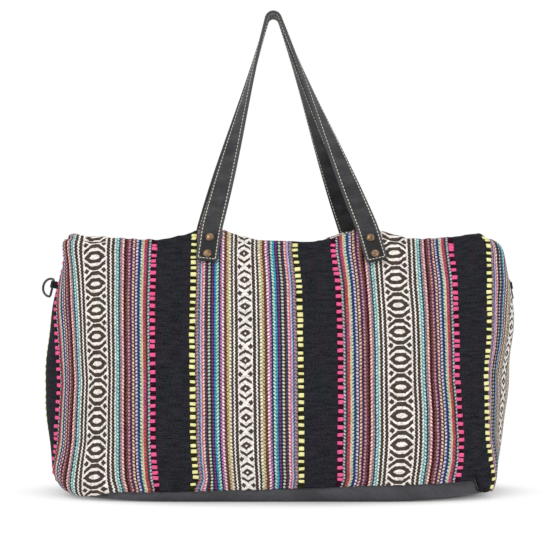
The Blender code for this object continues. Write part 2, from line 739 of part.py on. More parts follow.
class Handle:
    """One leather handle: two riveted tabs and the strap that swings from them."""

    def __init__(self, label, side, roots, tree):
        self.label = label
        self.side = side
        self.roots = roots
        self.tree = tree
        self.seat = StrapSeat(tree, side, roots)
        self.leans = (-LEFT_TAB_LEAN, RIGHT_TAB_LEAN)
        self.section = strap_section(STRAP_WIDTH, STRAP_THICKNESS, STRAP_CORNER)

    def tab_point(self, index, length):
        """The middle of a tab at a length up from its lower end."""
        y, z = self.seat.at(length)
        top = self.seat.at(TAB_LENGTH)
        return leaned(self.roots[index], y * -self.side, z, top[1], self.leans[index])

    def tab_frame(self, index):
        """The tab's directions: across, up along it, and out of its face."""
        up = (self.tab_point(index, TAB_LENGTH) - self.tab_point(index, 0)).normalized()
        out = Vector((0, self.seat.outward.x * -self.side, self.seat.outward.y))
        across = up.cross(out).normalized()
        return across, up, across.cross(up).normalized()

    def add_tab(self, index):
        """A tab with a rounded lower end, holed for its rivets."""
        across, up, out = self.tab_frame(index)
        half = STRAP_WIDTH / 2
        bevel = half * TAB_BEVEL_SHARE
        outline = [(-half, TAB_LENGTH), (-half, bevel), (-half + bevel, 0.0), (half - bevel, 0.0),
                   (half, bevel), (half, TAB_LENGTH)]
        bm = extruded(outline, STRAP_THICKNESS)
        turn = Matrix((across, up, out)).transposed()
        bmesh.ops.rotate(bm, cent=(0, 0, 0), matrix=turn, verts=bm.verts)
        bmesh.ops.translate(bm, vec=self.tab_point(index, 0), verts=bm.verts)
        name = f"{self.label}_handle_tab_{('left', 'right')[index]}"
        return add_object(name, bm, leather())

    def rivet_places(self):
        """Each rivet's name, middle on the tab's outer face, and directions."""
        for index, hand in enumerate(("left", "right")):
            across, up, out = self.tab_frame(index)
            for rank, level in enumerate(("lower", "upper")):
                length = RIVET_END_INSET + rank * RIVET_SPACING
                middle = self.tab_point(index, length) + out * STRAP_THICKNESS / 2
                yield f"{self.label}_{hand}_{level}", middle, Matrix((across, up, out)).transposed()

    def hinge(self):
        """A point on the line that the handle swings about."""
        y, z = self.seat.at(TAB_LENGTH) + self.seat.outward * HINGE_LEAD
        return Vector((0, y * -self.side, z))

    def path(self):
        """The strap's middle line, up the left leg, over the top and down the right leg."""
        y, z = self.seat.at(TAB_LENGTH + TAB_TOP_GAP)
        y_root = y * -self.side
        radius = APEX_INNER_RADIUS + STRAP_THICKNESS / 2
        centre = Vector((APEX_X, HANDLE_TOP - radius - STRAP_THICKNESS / 2))
        y_apex = self.side * (STRAP_WIDTH + APEX_SPACING) / 2
        feet = [Vector((x, z)) for x in self.roots]
        angles = []
        for foot, hand in zip(feet, (1, -1)):
            reach = centre - foot
            lean = math.atan2(hand * reach.x, reach.y) - math.asin(radius / reach.length)
            angles.append(math.pi - lean if hand > 0 else lean)
        flat = []
        ends = [centre + radius * Vector((math.cos(a), math.sin(a))) for a in angles]
        for step in range(STRAP_LEG_STEPS):
            flat.append(feet[0].lerp(ends[0], step / STRAP_LEG_STEPS))
        for step in range(STRAP_ARC_STEPS + 1):
            angle = blend(angles[0], angles[1], step / STRAP_ARC_STEPS)
            flat.append(centre + radius * Vector((math.cos(angle), math.sin(angle))))
        for step in range(1, STRAP_LEG_STEPS + 1):
            flat.append(ends[1].lerp(feet[1], step / STRAP_LEG_STEPS))
        points = []
        turns = []
        last = len(flat) - 1
        for number, place in enumerate(flat):
            near = min(number, last - number) / STRAP_LEG_STEPS
            rise = min(1.0, near)
            away = (1.0 - rise) ** LEAN_EASE
            points.append(Vector((place.x, blend(y_apex, y_root, away), place.y)))
            quarter = math.sin(rise * math.pi / 2) ** TURN_EASE * math.pi / 2
            turns.append(quarter if number <= last / 2 else math.pi - quarter)
        return points, turns

    def strap_frames(self):
        """The strap's points with the directions across and out of it at each."""
        points, turns = self.path()
        steps = [b - a for a, b in zip(points, points[1:])]
        tangents = [steps[0], *[(a.normalized() + b.normalized()) for a, b in zip(steps, steps[1:])],
                    steps[-1]]
        across = []
        outward = []
        for tangent, turn in zip(tangents, turns):
            tangent.normalize()
            side = Vector((math.cos(turn), self.side * math.sin(turn), 0))
            side = (side - tangent * side.dot(tangent)).normalized()
            across.append(side)
            outward.append(side.cross(tangent).normalized())
        for index, number in ((0, 0), (1, -1)):
            tab_across, _, tab_out = self.tab_frame(index)
            points[number] = self.tab_point(index, TAB_LENGTH + TAB_TOP_GAP)
            across[number] = facing(tab_across, across[number])
            outward[number] = facing(tab_out, outward[number])
        return points, across, outward

    def add_strap(self):
        """The strap in one length, turning a quarter on each leg so that its edges meet at the top."""
        pivot = add_pivot(f"{self.label}_handle_hinge", self.hinge())
        points, across, outward = self.strap_frames()
        bm = loft(swept(points, across, outward, self.section))
        return add_object(f"{self.label}_handle_strap", bm, leather(), parent=pivot)

    def cloth_depth(self, middle, turn):
        """How far in under the tab's outer face the lining's inner side is, under a whole rivet back."""
        out = turn @ Vector((0, 0, 1))
        inward = -self.turned_to_face(out)
        depths = []
        for angle in np.linspace(0, math.tau, 9):
            offset = Vector((math.cos(angle), math.sin(angle), 0)) * RIVET_BURR_RADIUS
            start = self.turned_to_face(middle + turn @ offset)
            depths.append(self.tree.ray_cast(start, inward)[3])
        return max(depths) + LINING_INSET + LINING_THICKNESS + RIVET_SEAT_SLACK

    def turned_to_face(self, vector):
        """A point or direction as the face's facets have it, with the face towards -Y."""
        return Vector((vector.x, vector.y * -self.side, vector.z))

    def add_rivets(self):
        """Each rivet with its post through tab, weave and lining, and its cap on the inside."""
        drills = []
        for name, middle, turn in self.rivet_places():
            depth = self.cloth_depth(middle, turn)
            place = Matrix.Translation(middle) @ turn.to_4x4()
            place = place @ Matrix.Translation((0, 0, CLEARANCE))
            add_turned(f"rivet_cap_{name}", rivet_profile(depth), place)
            add_turned(f"rivet_burr_{name}", rivet_burr_profile(depth), place)
            hole = RIVET_POST_RADIUS + CLEARANCE
            near, far = RIVET_RADIUS, -depth - RIVET_RADIUS
            drill = revolved([(0.0, near), (hole, near), (hole, far), (0.0, far)], RIVET_SIDES)
            bmesh.ops.transform(drill, matrix=place, verts=drill.verts)
            drills.append(drill)
        return add_object(f"{self.label}_rivet_cutter", joined(drills), antique_brass())

    def add(self):
        """The whole handle. Returns the drill that its rivets need through the cloth."""
        tabs = [self.add_tab(0), self.add_tab(1)]
        self.add_strap()
        drill = self.add_rivets()
        for tab in tabs:
            cut(tab, drill)
        return drill


def end_frame(end):
    """A ring tab's place on an end seam: its middle, out of the bag, and up along the seam."""
    angle = 0.0 if end < 0 else math.pi
    share = RING_LEVEL / WALL_HEIGHT
    here = Vector(wall_point(angle, share))
    above = Vector(wall_point(angle, share + SEAM_SURVEY_SHARE))
    below = Vector(wall_point(angle, share - SEAM_SURVEY_SHARE))
    up = (above - below).normalized()
    forward = Vector((0, -1, 0))
    out = up.cross(forward) * end
    return here, out.normalized(), up


def ring_tab(name, end, stand_off):
    """A short webbing loop whose ends go into the end seam, folded round the ring's bar."""
    here, out, up = end_frame(end)
    inner = RING_WIRE_RADIUS + CLEARANCE
    outer = inner + RING_TAB_THICKNESS
    root = -(stand_off - SEAM_GAP - CLEARANCE)
    arc = [math.pi / 2 - step / 8 * math.pi for step in range(9)]
    outline = [(root, outer)]
    outline += [(outer * math.cos(angle), outer * math.sin(angle)) for angle in arc]
    outline += [(root, -outer), (root, -inner)]
    outline += [(inner * math.cos(angle), inner * math.sin(angle)) for angle in reversed(arc)]
    outline += [(root, inner)]
    bm = extruded(outline, RING_TAB_WIDTH)
    forward = up.cross(out)
    turn = Matrix((out, forward, up)).transposed().to_4x4()
    place = Matrix.Translation(here + out * stand_off) @ turn
    bmesh.ops.transform(bm, matrix=place, verts=bm.verts)
    return add_object(name, bm, canvas())


def ring_path():
    """The ring's wire in its own plane: a straight bar along y at x = 0, and a bow out to +x."""
    half = RING_HEIGHT / 2 - RING_WIRE_RADIUS
    deep = RING_DEPTH - 2 * RING_WIRE_RADIUS
    bow = [(deep * math.sin(turn) ** RING_BOW_FULLNESS, half * math.cos(turn))
           for turn in np.linspace(0, math.pi, 15)[1:-1]]
    bar = [(0.0, half * y) for y in np.linspace(-RING_BAR_SHARE, RING_BAR_SHARE, 5)]
    return bow + bar


def ring(name, end, stand_off, turned):
    """A wire ring hung on its tab, turned about its bar as it lies."""
    here, out, up = end_frame(end)
    forward = up.cross(out)
    axis = here + out * stand_off
    pivot = add_pivot(f"{name}_pivot", axis, Matrix((out, forward, up)).transposed())
    points = [Vector((x, 0, y - RING_DROP)) for x, y in ring_path()]
    count = len(points)
    rings = []
    for number, point in enumerate(points):
        tangent = (points[(number + 1) % count] - points[number - 1]).normalized()
        across = Vector((0, 1, 0))
        outward = across.cross(tangent)
        rings.append([tuple(point + RING_WIRE_RADIUS * (math.cos(a) * across + math.sin(a) * outward))
                      for a in np.linspace(0, math.tau, 9)[:-1]])
    bm = loft(rings, loop=True)
    local = Matrix.Rotation(turned, 4, "Z")
    bmesh.ops.transform(bm, matrix=pivot.matrix_world @ local, verts=bm.verts)
    return add_object(name, bm, gunmetal(), parent=pivot)


def build():
    clear_scene()
    body = Body()
    front = woven_panel("front_panel", body, -1)
    back = woven_panel("back_panel", body, 1)
    base_panel(body)
    inner = lining(body)
    zip_tape("zip_tape_front", -1)
    zip_tape("zip_tape_back", 1)
    zip_coil("zip_coil_front", -1)
    zip_coil("zip_coil_back", 1)
    zip_stop("zip_stop_left", -1)
    zip_stop("zip_stop_right", 1)
    slide = add_pivot("slider_slide", slider_place())
    slider = slider_plate("zip_slider", 1, slide)
    add_bail(slider, slide)
    slider_plate("zip_slider_base", -1, slide)
    zip_pull(slide)
    for label, side, roots, panel in (("front", -1, (FRONT_ROOT_LEFT, FRONT_ROOT_RIGHT), front),
                                      ("back", 1, (BACK_ROOT_LEFT, BACK_ROOT_RIGHT), back)):
        drill = Handle(label, side, roots, face_tree(body, side)).add()
        cut(panel, drill)
        cut(inner, drill)
    for hand, end, stand_off, turned in (("left", -1, LEFT_STAND_OFF, LEFT_RING_TURN),
                                         ("right", 1, RIGHT_STAND_OFF, RIGHT_RING_TURN)):
        ring_tab(f"ring_tab_{hand}", end, stand_off)
        ring(f"ring_{hand}", end, stand_off, turned)


build()
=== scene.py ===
"""The looks of a striped hand-loomed duffle bag with leather handles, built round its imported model.

Metres, +Z up, the front of the bag faces -Y. Every shape is a function of two parameters worked
out on whole numpy grids. Cloth carries a UV map in metres along its own weave, so that the
stripes follow the surface.
"""

import json
import logging
import math
from dataclasses import dataclass
from enum import Enum
from typing import Any, Sequence

import bmesh
import bpy
import numpy as np
from mathutils import Matrix


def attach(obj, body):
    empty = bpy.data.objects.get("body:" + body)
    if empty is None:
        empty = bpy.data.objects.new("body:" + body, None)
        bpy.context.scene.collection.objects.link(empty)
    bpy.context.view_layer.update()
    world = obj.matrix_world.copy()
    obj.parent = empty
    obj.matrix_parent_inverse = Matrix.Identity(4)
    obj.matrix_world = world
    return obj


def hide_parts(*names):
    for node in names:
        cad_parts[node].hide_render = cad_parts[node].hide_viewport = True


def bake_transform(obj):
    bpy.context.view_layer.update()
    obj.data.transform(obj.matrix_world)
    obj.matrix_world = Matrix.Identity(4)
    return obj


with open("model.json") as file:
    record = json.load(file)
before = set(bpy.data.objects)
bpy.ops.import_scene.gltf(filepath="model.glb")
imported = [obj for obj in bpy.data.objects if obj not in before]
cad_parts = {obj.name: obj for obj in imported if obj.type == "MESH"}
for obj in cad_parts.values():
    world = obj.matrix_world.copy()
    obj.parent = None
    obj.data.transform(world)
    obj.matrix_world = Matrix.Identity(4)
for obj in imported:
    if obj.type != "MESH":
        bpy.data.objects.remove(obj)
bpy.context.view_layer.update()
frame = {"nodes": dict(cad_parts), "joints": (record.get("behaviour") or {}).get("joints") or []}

LOG = logging.getLogger("duffle_bag")
Array = np.ndarray
Number = "Signal | float"
UV_NAME = "cloth"
SIDES = (("front", -1), ("back", 1))
HANDS = ("left", "right")
UPWARD = np.array((0.0, 0.0, 1.0))


# --------------------------------------------------------------------------- numbers and grids
def lerp(start: Any, end: Any, share: Any) -> Any:
    """Straight blend from start (share 0) to end (share 1)."""
    return start + (end - start) * share


def smooth(share: Any) -> Any:
    """Smooth step: 3 s^2 - 2 s^3 of the share clipped to 0..1."""
    s = np.clip(share, 0.0, 1.0)
    return s * s * (3.0 - 2.0 * s)


def risen(value: Any, start: float, length: float) -> Any:
    """Smooth step of a value that starts to rise at start and has risen after length."""
    return smooth((value - start) / length)


def bell(value: Any, middle: float, reach: float) -> Any:
    """The bell curve: 1 at its middle, near nothing two reaches away."""
    return np.exp(-(((value - middle) / reach) ** 2))


def unit(vectors: Any) -> Array:
    """Vectors divided by their lengths."""
    vectors = np.asarray(vectors, float)
    return vectors / np.maximum(np.linalg.norm(vectors, axis=-1, keepdims=True), 1e-12)


def circle(count: int, radius: float = 1.0) -> Array:
    """Points (count, 2) once round a circle."""
    turn = np.linspace(0.0, math.tau, count + 1)[:-1]
    return np.stack((np.cos(turn), np.sin(turn)), -1) * radius


def rising(count: int, end: float = 1.0) -> Array:
    """A column of even steps up to an end, 0 left out."""
    return np.linspace(0.0, end, count + 1)[1:, None]


def run_length(points: Array, axis: int = 0) -> Array:
    """Distance walked along one axis of a grid of points, starting at 0.

    Args:
        points: Grid of points, the last axis holding x, y, z.
        axis: The grid axis that is walked along.

    Returns:
        The distances, in the shape of the grid.
    """
    steps = np.linalg.norm(np.diff(points, axis=axis), axis=-1)
    first = np.zeros_like(np.take(steps, [0], axis=axis))
    return np.concatenate((first, np.cumsum(steps, axis=axis)), axis=axis)


def resample(values: Array, run: Array, at: Array) -> Array:
    """Rows of values that stand at the lengths run, read at other lengths."""
    return np.stack([np.interp(at, run, column) for column in values.T], -1)


def closed_section(section: Array) -> Array:
    """Distance round a section, once for each point and once more for its first."""
    return run_length(np.concatenate((section, section[:1])))


def round_normals(grid: Array) -> Array:
    """Outward normals of a grid whose columns go once round."""
    along = np.roll(grid, -1, axis=1) - np.roll(grid, 1, axis=1)
    return unit(np.cross(along, np.gradient(grid, axis=0)))


def round_uv(grid: Array, gap: float) -> Array:
    """UV by distance round and up a grid whose last column joins its first over a gap.

    Args:
        grid: Points (rows, columns, 3).
        gap: Distance across the join.

    Returns:
        UV (rows, columns + 1, 2).
    """
    length, height = run_length(grid, axis=1), run_length(grid, axis=0)
    return np.stack((np.concatenate((length, length[:, -1:] + gap), axis=1),
                     np.concatenate((height, height[:, :1]), axis=1)), -1)


def round_section(width: float, thickness: float, radius: float, steps: int = 4) -> Array:
    """A rounded rectangle about the origin: four quarter arcs joined by straight sides.

    Args:
        width: Size along the first direction.
        thickness: Size along the second direction.
        radius: Radius of the corners.
        steps: Steps in each corner.

    Returns:
        Points (n, 2), once round.
    """
    turn = np.linspace(0.0, math.pi / 2, steps + 1)
    corner = np.stack((np.cos(turn), np.sin(turn)), axis=1) * radius
    parts = []
    for quarter, (sx, sy) in enumerate(((1, 1), (-1, 1), (-1, -1), (1, -1))):
        c, s = math.cos(quarter * math.pi / 2), math.sin(quarter * math.pi / 2)
        spun = corner @ np.array(((c, s), (-s, c)))
        parts.append(spun + (sx * (width / 2 - radius), sy * (thickness / 2 - radius)))
    return np.concatenate(parts)


def carried(section: Array, middle: Array, across: Array, outward: Array) -> Array:
    """A section carried along a path: middle + a * across + b * outward for each (a, b) of it.

    Args:
        section: Points (k, 2), or (n, k, 2) where it changes along the path.
        middle: Path (n, 3).
        across: The section's first direction, one for all or one at each point.
        outward: Its second direction, likewise.

    Returns:
        Rings (n, k, 3).
    """
    section = np.broadcast_to(section, (len(middle), *section.shape[-2:]))
    across, outward = (np.broadcast_to(way, middle.shape)[:, None] for way in (across, outward))
    return middle[:, None] + section[..., :1] * across + section[..., 1:] * outward


def colour(code: str) -> tuple[float, float, float, float]:
    """A hex colour as it shows on screen, turned to linear light with full alpha.

    Args:
        code: The colour as #rrggbb.

    Returns:
        Red, green, blue and alpha.
    """
    parts = np.array([int(code[i:i + 2], 16) for i in (1, 3, 5)]) / 255.0
    linear = np.where(parts <= 0.04045, parts / 12.92, ((parts + 0.055) / 1.055) ** 2.4)
    return (*(float(c) for c in linear), 1.0)


def placed(name: str, data: Any) -> bpy.types.Object:
    """A new object in the scene, at the origin.

    Args:
        name: Its name.
        data: Its mesh, lamp or camera.

    Returns:
        The object.
    """
    made = bpy.data.objects.new(name, data)
    bpy.context.scene.collection.objects.link(made)
    return made


class MeshKit:
    """Grids of points gathered into one mesh, with a UV corner for each corner of each face."""

    def __init__(self) -> None:
        """Starts empty."""
        self.points: list[Array] = []
        self.faces: list[Array] = []
        self.corners: list[Array] = []
        self.count = 0

    def add_points(self, points: Array) -> int:
        """Adds points and returns the index of the first one.

        Args:
            points: Points, the last axis holding x, y, z.

        Returns:
            The number of the first one.
        """
        first = self.count
        self.points.append(np.asarray(points, float).reshape(-1, 3))
        self.count += len(self.points[-1])
        return first

    def add_faces(self, faces: Array, corners: Array) -> None:
        """Adds faces of one size, one row of vertex numbers for each, and their corners' UV."""
        self.faces.append(np.asarray(faces, int))
        self.corners.append(np.asarray(corners, float))

    @staticmethod
    def quads(grid: Array) -> Array:
        """The four values round each cell of a grid."""
        return np.stack((grid[:-1, :-1], grid[:-1, 1:], grid[1:, 1:], grid[1:, :-1]), axis=2)

    def grid(self, points: Array, uv: Array | None = None, wrap: bool = False) -> None:
        """Quads over a grid: face (r, c) joins rows r, r + 1 and columns c, c + 1.

        Args:
            points: Grid (rows, columns, 3).
            uv: UV (rows, columns or columns + 1 when wrapped, 2), or None for zeros.
            wrap: Whether the last column joins the first.
        """
        rows, columns = points.shape[:2]
        index = self.add_points(points) + np.arange(rows * columns).reshape(rows, columns)
        if wrap:
            index = np.concatenate((index, index[:, :1]), axis=1)
        if uv is None:
            uv = np.zeros((*index.shape, 2))
        self.add_faces(self.quads(index).reshape(-1, 4), self.quads(uv).reshape(-1, 4, 2))

    def tube(self, rings: Array, uv: Array | None = None, loop: bool = False) -> None:
        """A closed body through rings of points: capped at both ends, or joined end to start.

        Args:
            rings: Rings (n, k, 3).
            uv: UV (n, k + 1, 2), or None for zeros.
            loop: Whether the last ring joins the first.
        """
        if loop:
            rings = np.concatenate((rings, rings[:1]))
        self.grid(rings, uv, wrap=True)
        for end in () if loop else (0, -1):
            ring = rings[end]
            flat = np.zeros((1, len(ring), 2)) if uv is None else uv[end, :-1][None]
            self.add_faces(self.add_points(ring) + np.arange(len(ring))[None], flat)

    def tub(self, outer: tuple[Array, Array], inner: tuple[Array, Array]) -> None:
        """Two tubs of points and UV, one within the other, joined along their last rows.

        Args:
            outer: Points and UV of the outer tub.
            inner: Points and UV of the inner tub.
        """
        self.grid(*outer, wrap=True)
        self.grid(*inner, wrap=True)
        self.grid(*(np.stack((out[-1], under[-1])) for out, under in zip(outer, inner)), wrap=True)

    def copies(self, shape: "MeshKit", places: Array, turns: Array) -> None:
        """The same small shape set down many times.

        Args:
            shape: The shape, about the origin.
            places: Where each copy goes (n, 3).
            turns: Each copy's three directions scaled by its sizes, as columns (n, 3, 3).
        """
        local = np.concatenate(shape.points)
        first = self.add_points(places[:, None] + np.einsum("nij,kj->nki", turns, local))
        shift = first + len(local) * np.arange(len(places))[:, None, None]
        for faces, corners in zip(shape.faces, shape.corners):
            self.add_faces((faces[None] + shift).reshape(-1, faces.shape[1]),
                           np.tile(corners, (len(places), 1, 1)))

    def build(self, name: str, finish: "Finish", weld: bool = True) -> bpy.types.Object:
        """Makes the mesh object, with its seams welded and its faces turned outwards.

        Args:
            name: The piece's name.
            finish: Its finish.
            weld: Whether points at the same place are merged.

        Returns:
            The new object, at the origin.
        """
        mesh = bpy.data.meshes.new(name)
        faces = [row for block in self.faces for row in block.tolist()]
        mesh.from_pydata(np.concatenate(self.points).tolist(), [], faces)
        corners = np.concatenate([c.reshape(-1, 2) for c in self.corners])
        layer = mesh.uv_layers.new(name=UV_NAME)
        layer.data.foreach_set("uv", corners.astype(np.float32).ravel())
        bm = bmesh.new()
        bm.from_mesh(mesh)
        if weld:
            bmesh.ops.remove_doubles(bm, verts=bm.verts, dist=1e-6)
        bmesh.ops.recalc_face_normals(bm, faces=bm.faces)
        bm.to_mesh(mesh)
        bm.free()
        mesh.polygons.foreach_set("use_smooth", np.full(len(mesh.polygons), True))
        mesh.update()
        mesh.materials.append(finish.material())
        LOG.info("%s: %d faces", name, len(mesh.polygons))
        return placed(name, mesh)


# --------------------------------------------------------------------------- shader workshop
def math_method(operation: str, turned: bool = False) -> Any:
    """Makes a method of Signal that adds one Math node.

    Args:
        operation: The node's operation.
        turned: Whether the other value comes before the signal.

    Returns:
        The method.
    """
    def method(self: "Signal", *others: Number) -> "Signal":
        """The operation on this signal and the others."""
        values = (self, *others)
        return self.bench.math(operation, *(values[::-1] if turned else values))

    return method


class Signal:
    """A socket that carries a number. Python's operators on it add Math nodes."""

    def __init__(self, bench: "Bench", socket: bpy.types.NodeSocket) -> None:
        """Keeps the socket and the bench that it is on."""
        self.bench = bench
        self.socket = socket

    __add__ = __radd__ = math_method("ADD")
    __sub__ = math_method("SUBTRACT")
    __rsub__ = math_method("SUBTRACT", turned=True)
    __mul__ = __rmul__ = math_method("MULTIPLY")
    __truediv__ = math_method("DIVIDE")
    __abs__ = math_method("ABSOLUTE")
    __lt__ = math_method("LESS_THAN")
    __gt__ = math_method("GREATER_THAN")
    __and__ = math_method("MINIMUM")
    __or__ = math_method("MAXIMUM")
    floor = math_method("FLOOR")
    fract = math_method("FRACT")
    sine = math_method("SINE")
    power = math_method("POWER")
    zigzag = math_method("PINGPONG")

    def wave(self) -> "Signal":
        """Half a sine, 0 to 1 to 0, from each whole number to the next."""
        return (self.fract() * math.pi).sine()

    def stretch(self, low: float, high: float) -> "Signal":
        """A smooth rise from 0 at low to 1 at high.

        Args:
            low: Where the rise starts.
            high: Where it ends, which may be below low.

        Returns:
            The new signal.
        """
        node = self.bench.node("ShaderNodeMapRange", {"interpolation_type": "SMOOTHSTEP"},
                               {0: self, 1: low, 2: high, 3: 0.0, 4: 1.0})
        return Signal(self.bench, node.outputs[0])


class Bench:
    """One material or world under work: its node tree and the calls that add to it."""

    def __init__(self, owner: bpy.types.Material | bpy.types.World) -> None:
        """Clears the owner's node tree.

        Args:
            owner: The material or world.
        """
        owner.use_nodes = True
        self.tree = owner.node_tree
        self.tree.nodes.clear()

    def node(self, kind: str, settings: dict[str, Any] | None = None,
             inputs: dict[Any, Any] | None = None) -> bpy.types.Node:
        """Any node, made in one call.

        Args:
            kind: The node's type.
            settings: Its own settings, such as operation; "stops" fills a colour ramp.
            inputs: Values, hex colours, sockets or signals for its inputs, by name or number.

        Returns:
            The new node.
        """
        made = self.tree.nodes.new(kind)
        for key, value in (settings or {}).items():
            if key == "stops":
                self.fill_ramp(made.color_ramp, value)
            else:
                setattr(made, key, value)
        for key, value in (inputs or {}).items():
            if isinstance(value, Signal):
                value = value.socket
            if isinstance(value, bpy.types.NodeSocket):
                self.tree.links.new(value, made.inputs[key])
            else:
                made.inputs[key].default_value = colour(value) if isinstance(value, str) else value
        return made

    @staticmethod
    def fill_ramp(ramp: bpy.types.ColorRamp, stops: Sequence[tuple[float, Any]]) -> None:
        """Gives a colour ramp its stops, each a position and a colour, in constant steps.

        Args:
            ramp: The ramp.
            stops: Position and colour of each stop.
        """
        ramp.interpolation = "CONSTANT"
        while len(ramp.elements) < len(stops):
            ramp.elements.new(1.0)
        for element, (position, tint) in zip(ramp.elements, stops):
            element.position = position
            element.color = tint

    def math(self, operation: str, *values: Any) -> Signal:
        """A Math node on values or signals."""
        node = self.node("ShaderNodeMath", {"operation": operation}, dict(enumerate(values)))
        return Signal(self, node.outputs[0])

    def axes(self, vector: bpy.types.NodeSocket) -> tuple[Signal, Signal, Signal]:
        """A vector's three numbers."""
        split = self.node("ShaderNodeSeparateXYZ", inputs={0: vector})
        return tuple(Signal(self, output) for output in split.outputs)

    def uv(self) -> tuple[Signal, Signal]:
        """The piece's own UV, in metres, as two signals."""
        return self.axes(self.node("ShaderNodeUVMap", {"uv_map": UV_NAME}).outputs[0])[:2]

    def place(self) -> bpy.types.NodeSocket:
        """Object coordinates, in metres."""
        return self.node("ShaderNodeTexCoord").outputs["Object"]

    def vector(self, x: Number, y: Number) -> bpy.types.NodeSocket:
        """Two numbers as one flat vector."""
        return self.node("ShaderNodeCombineXYZ", inputs={0: x, 1: y}).outputs[0]

    def noise(self, at: Any, scale: float, detail: float = 2.0, roughness: float = 0.5) -> Signal:
        """Soft noise between 0 and 1.

        Args:
            at: A vector, or its two numbers.
            scale: Lumps to the metre.
            detail: Octaves of finer noise.
            roughness: How much the finer noise counts.

        Returns:
            The noise.
        """
        at = self.vector(*at) if isinstance(at, tuple) else at
        node = self.node("ShaderNodeTexNoise", {}, {"Vector": at, "Scale": scale,
                                                    "Detail": detail, "Roughness": roughness})
        return Signal(self, node.outputs[0])

    def cells(self, vector: bpy.types.NodeSocket, scale: float, feature: str) -> Signal:
        """Distance within the cells of a Voronoi pattern.

        Args:
            vector: Where it is read.
            scale: Cells to the metre.
            feature: Which distance is meant.

        Returns:
            The distance.
        """
        node = self.node("ShaderNodeTexVoronoi", {"feature": feature},
                         {"Vector": vector, "Scale": scale})
        return Signal(self, node.outputs["Distance"])

    def chance(self, vector: bpy.types.NodeSocket) -> Signal:
        """A random number for each whole-number cell."""
        node = self.node("ShaderNodeTexWhiteNoise", {}, {"Vector": vector})
        return Signal(self, node.outputs["Value"])

    def mix(self, share: Number, first: Any, second: Any) -> bpy.types.NodeSocket:
        """Two colours mixed: the first at share 0 and the second at share 1."""
        return self.node("ShaderNodeMix", {"data_type": "RGBA", "blend_type": "MIX"},
                         {0: share, 6: first, 7: second}).outputs[2]

    def shade(self, tint: Any, light: Signal) -> bpy.types.NodeSocket:
        """A colour made lighter or darker by a signal about 1.

        Args:
            tint: The colour.
            light: What it is scaled by.

        Returns:
            The new colour.
        """
        tint = colour(tint)[:3] if isinstance(tint, str) else tint
        node = self.node("ShaderNodeVectorMath", {"operation": "SCALE"}, {0: tint, "Scale": light})
        return node.outputs[0]

    def ramp(self, value: Signal, stops: Sequence[tuple[float, Any]]) -> bpy.types.NodeSocket:
        """Colours in constant steps along a value from 0 to 1."""
        return self.node("ShaderNodeValToRGB", {"stops": stops}, {0: value}).outputs[0]

    def bump(self, height: Signal, distance: float, strength: float = 1.0) -> bpy.types.NodeSocket:
        """A normal bent by a height in units of distance."""
        return self.node("ShaderNodeBump", {}, {"Height": height, "Distance": distance,
                                                "Strength": strength}).outputs["Normal"]

    def surface(self, fixed: dict[str, Any], **varied: Any) -> None:
        """Finishes a material with a Principled shader.

        Args:
            fixed: Values for sockets that are the same all over.
            **varied: Base_Color, Roughness, Metallic or Normal that may vary.
        """
        inputs = {key.replace("_", " "): value for key, value in varied.items()}
        self.show(self.node("ShaderNodeBsdfPrincipled", {}, {**fixed, **inputs}))

    def show(self, shader: bpy.types.Node, output: str = "ShaderNodeOutputMaterial") -> None:
        """Links the last shader to the tree's output."""
        self.node(output, {}, {0: shader.outputs[0]})


@dataclass(frozen=True)
class Finish:
    """A surface finish, made into a material the first time that it is used."""

    name: str

    def material(self) -> bpy.types.Material:
        """The finish's material.

        Returns:
            The material.
        """
        found = bpy.data.materials.get(self.name)
        if found is None:
            found = bpy.data.materials.new(self.name)
            self.paint(Bench(found))
        return found

    def paint(self, bench: Bench) -> None:
        """Puts the finish's nodes on the bench."""
        raise NotImplementedError


# --------------------------------------------------------------------------- striped cloth
YARN = 0.00113
PICK = 0.0039
PERIOD = 0.3420
REACH = PERIOD / 4 / YARN
BAND_PLACE = -0.2065
MOTIF_PITCH = 0.0313
HEXAGON_PLACE = 0.1567
DIAMOND_PLACE = 0.1613
BLACK = "#1b1b1e"
BROWN = "#403631"
CREAM = "#fdf7f3"


class Lie(Enum):
    """How flecks stand: half a pick plus what they climb for each yarn, and where they start."""

    ROW = (0.50, 0.0)
    OFFSET = (0.50, 0.5)
    LEFT = (0.72, 0.2)
    RIGHT = (0.28, 0.7)


@dataclass(frozen=True)
class Stripe:
    """One warp stripe: where it starts from the band's middle in yarns, and its two colours."""

    start: float
    ground: str
    fleck: str
    share: float = 0.0
    lie: Lie = Lie.ROW


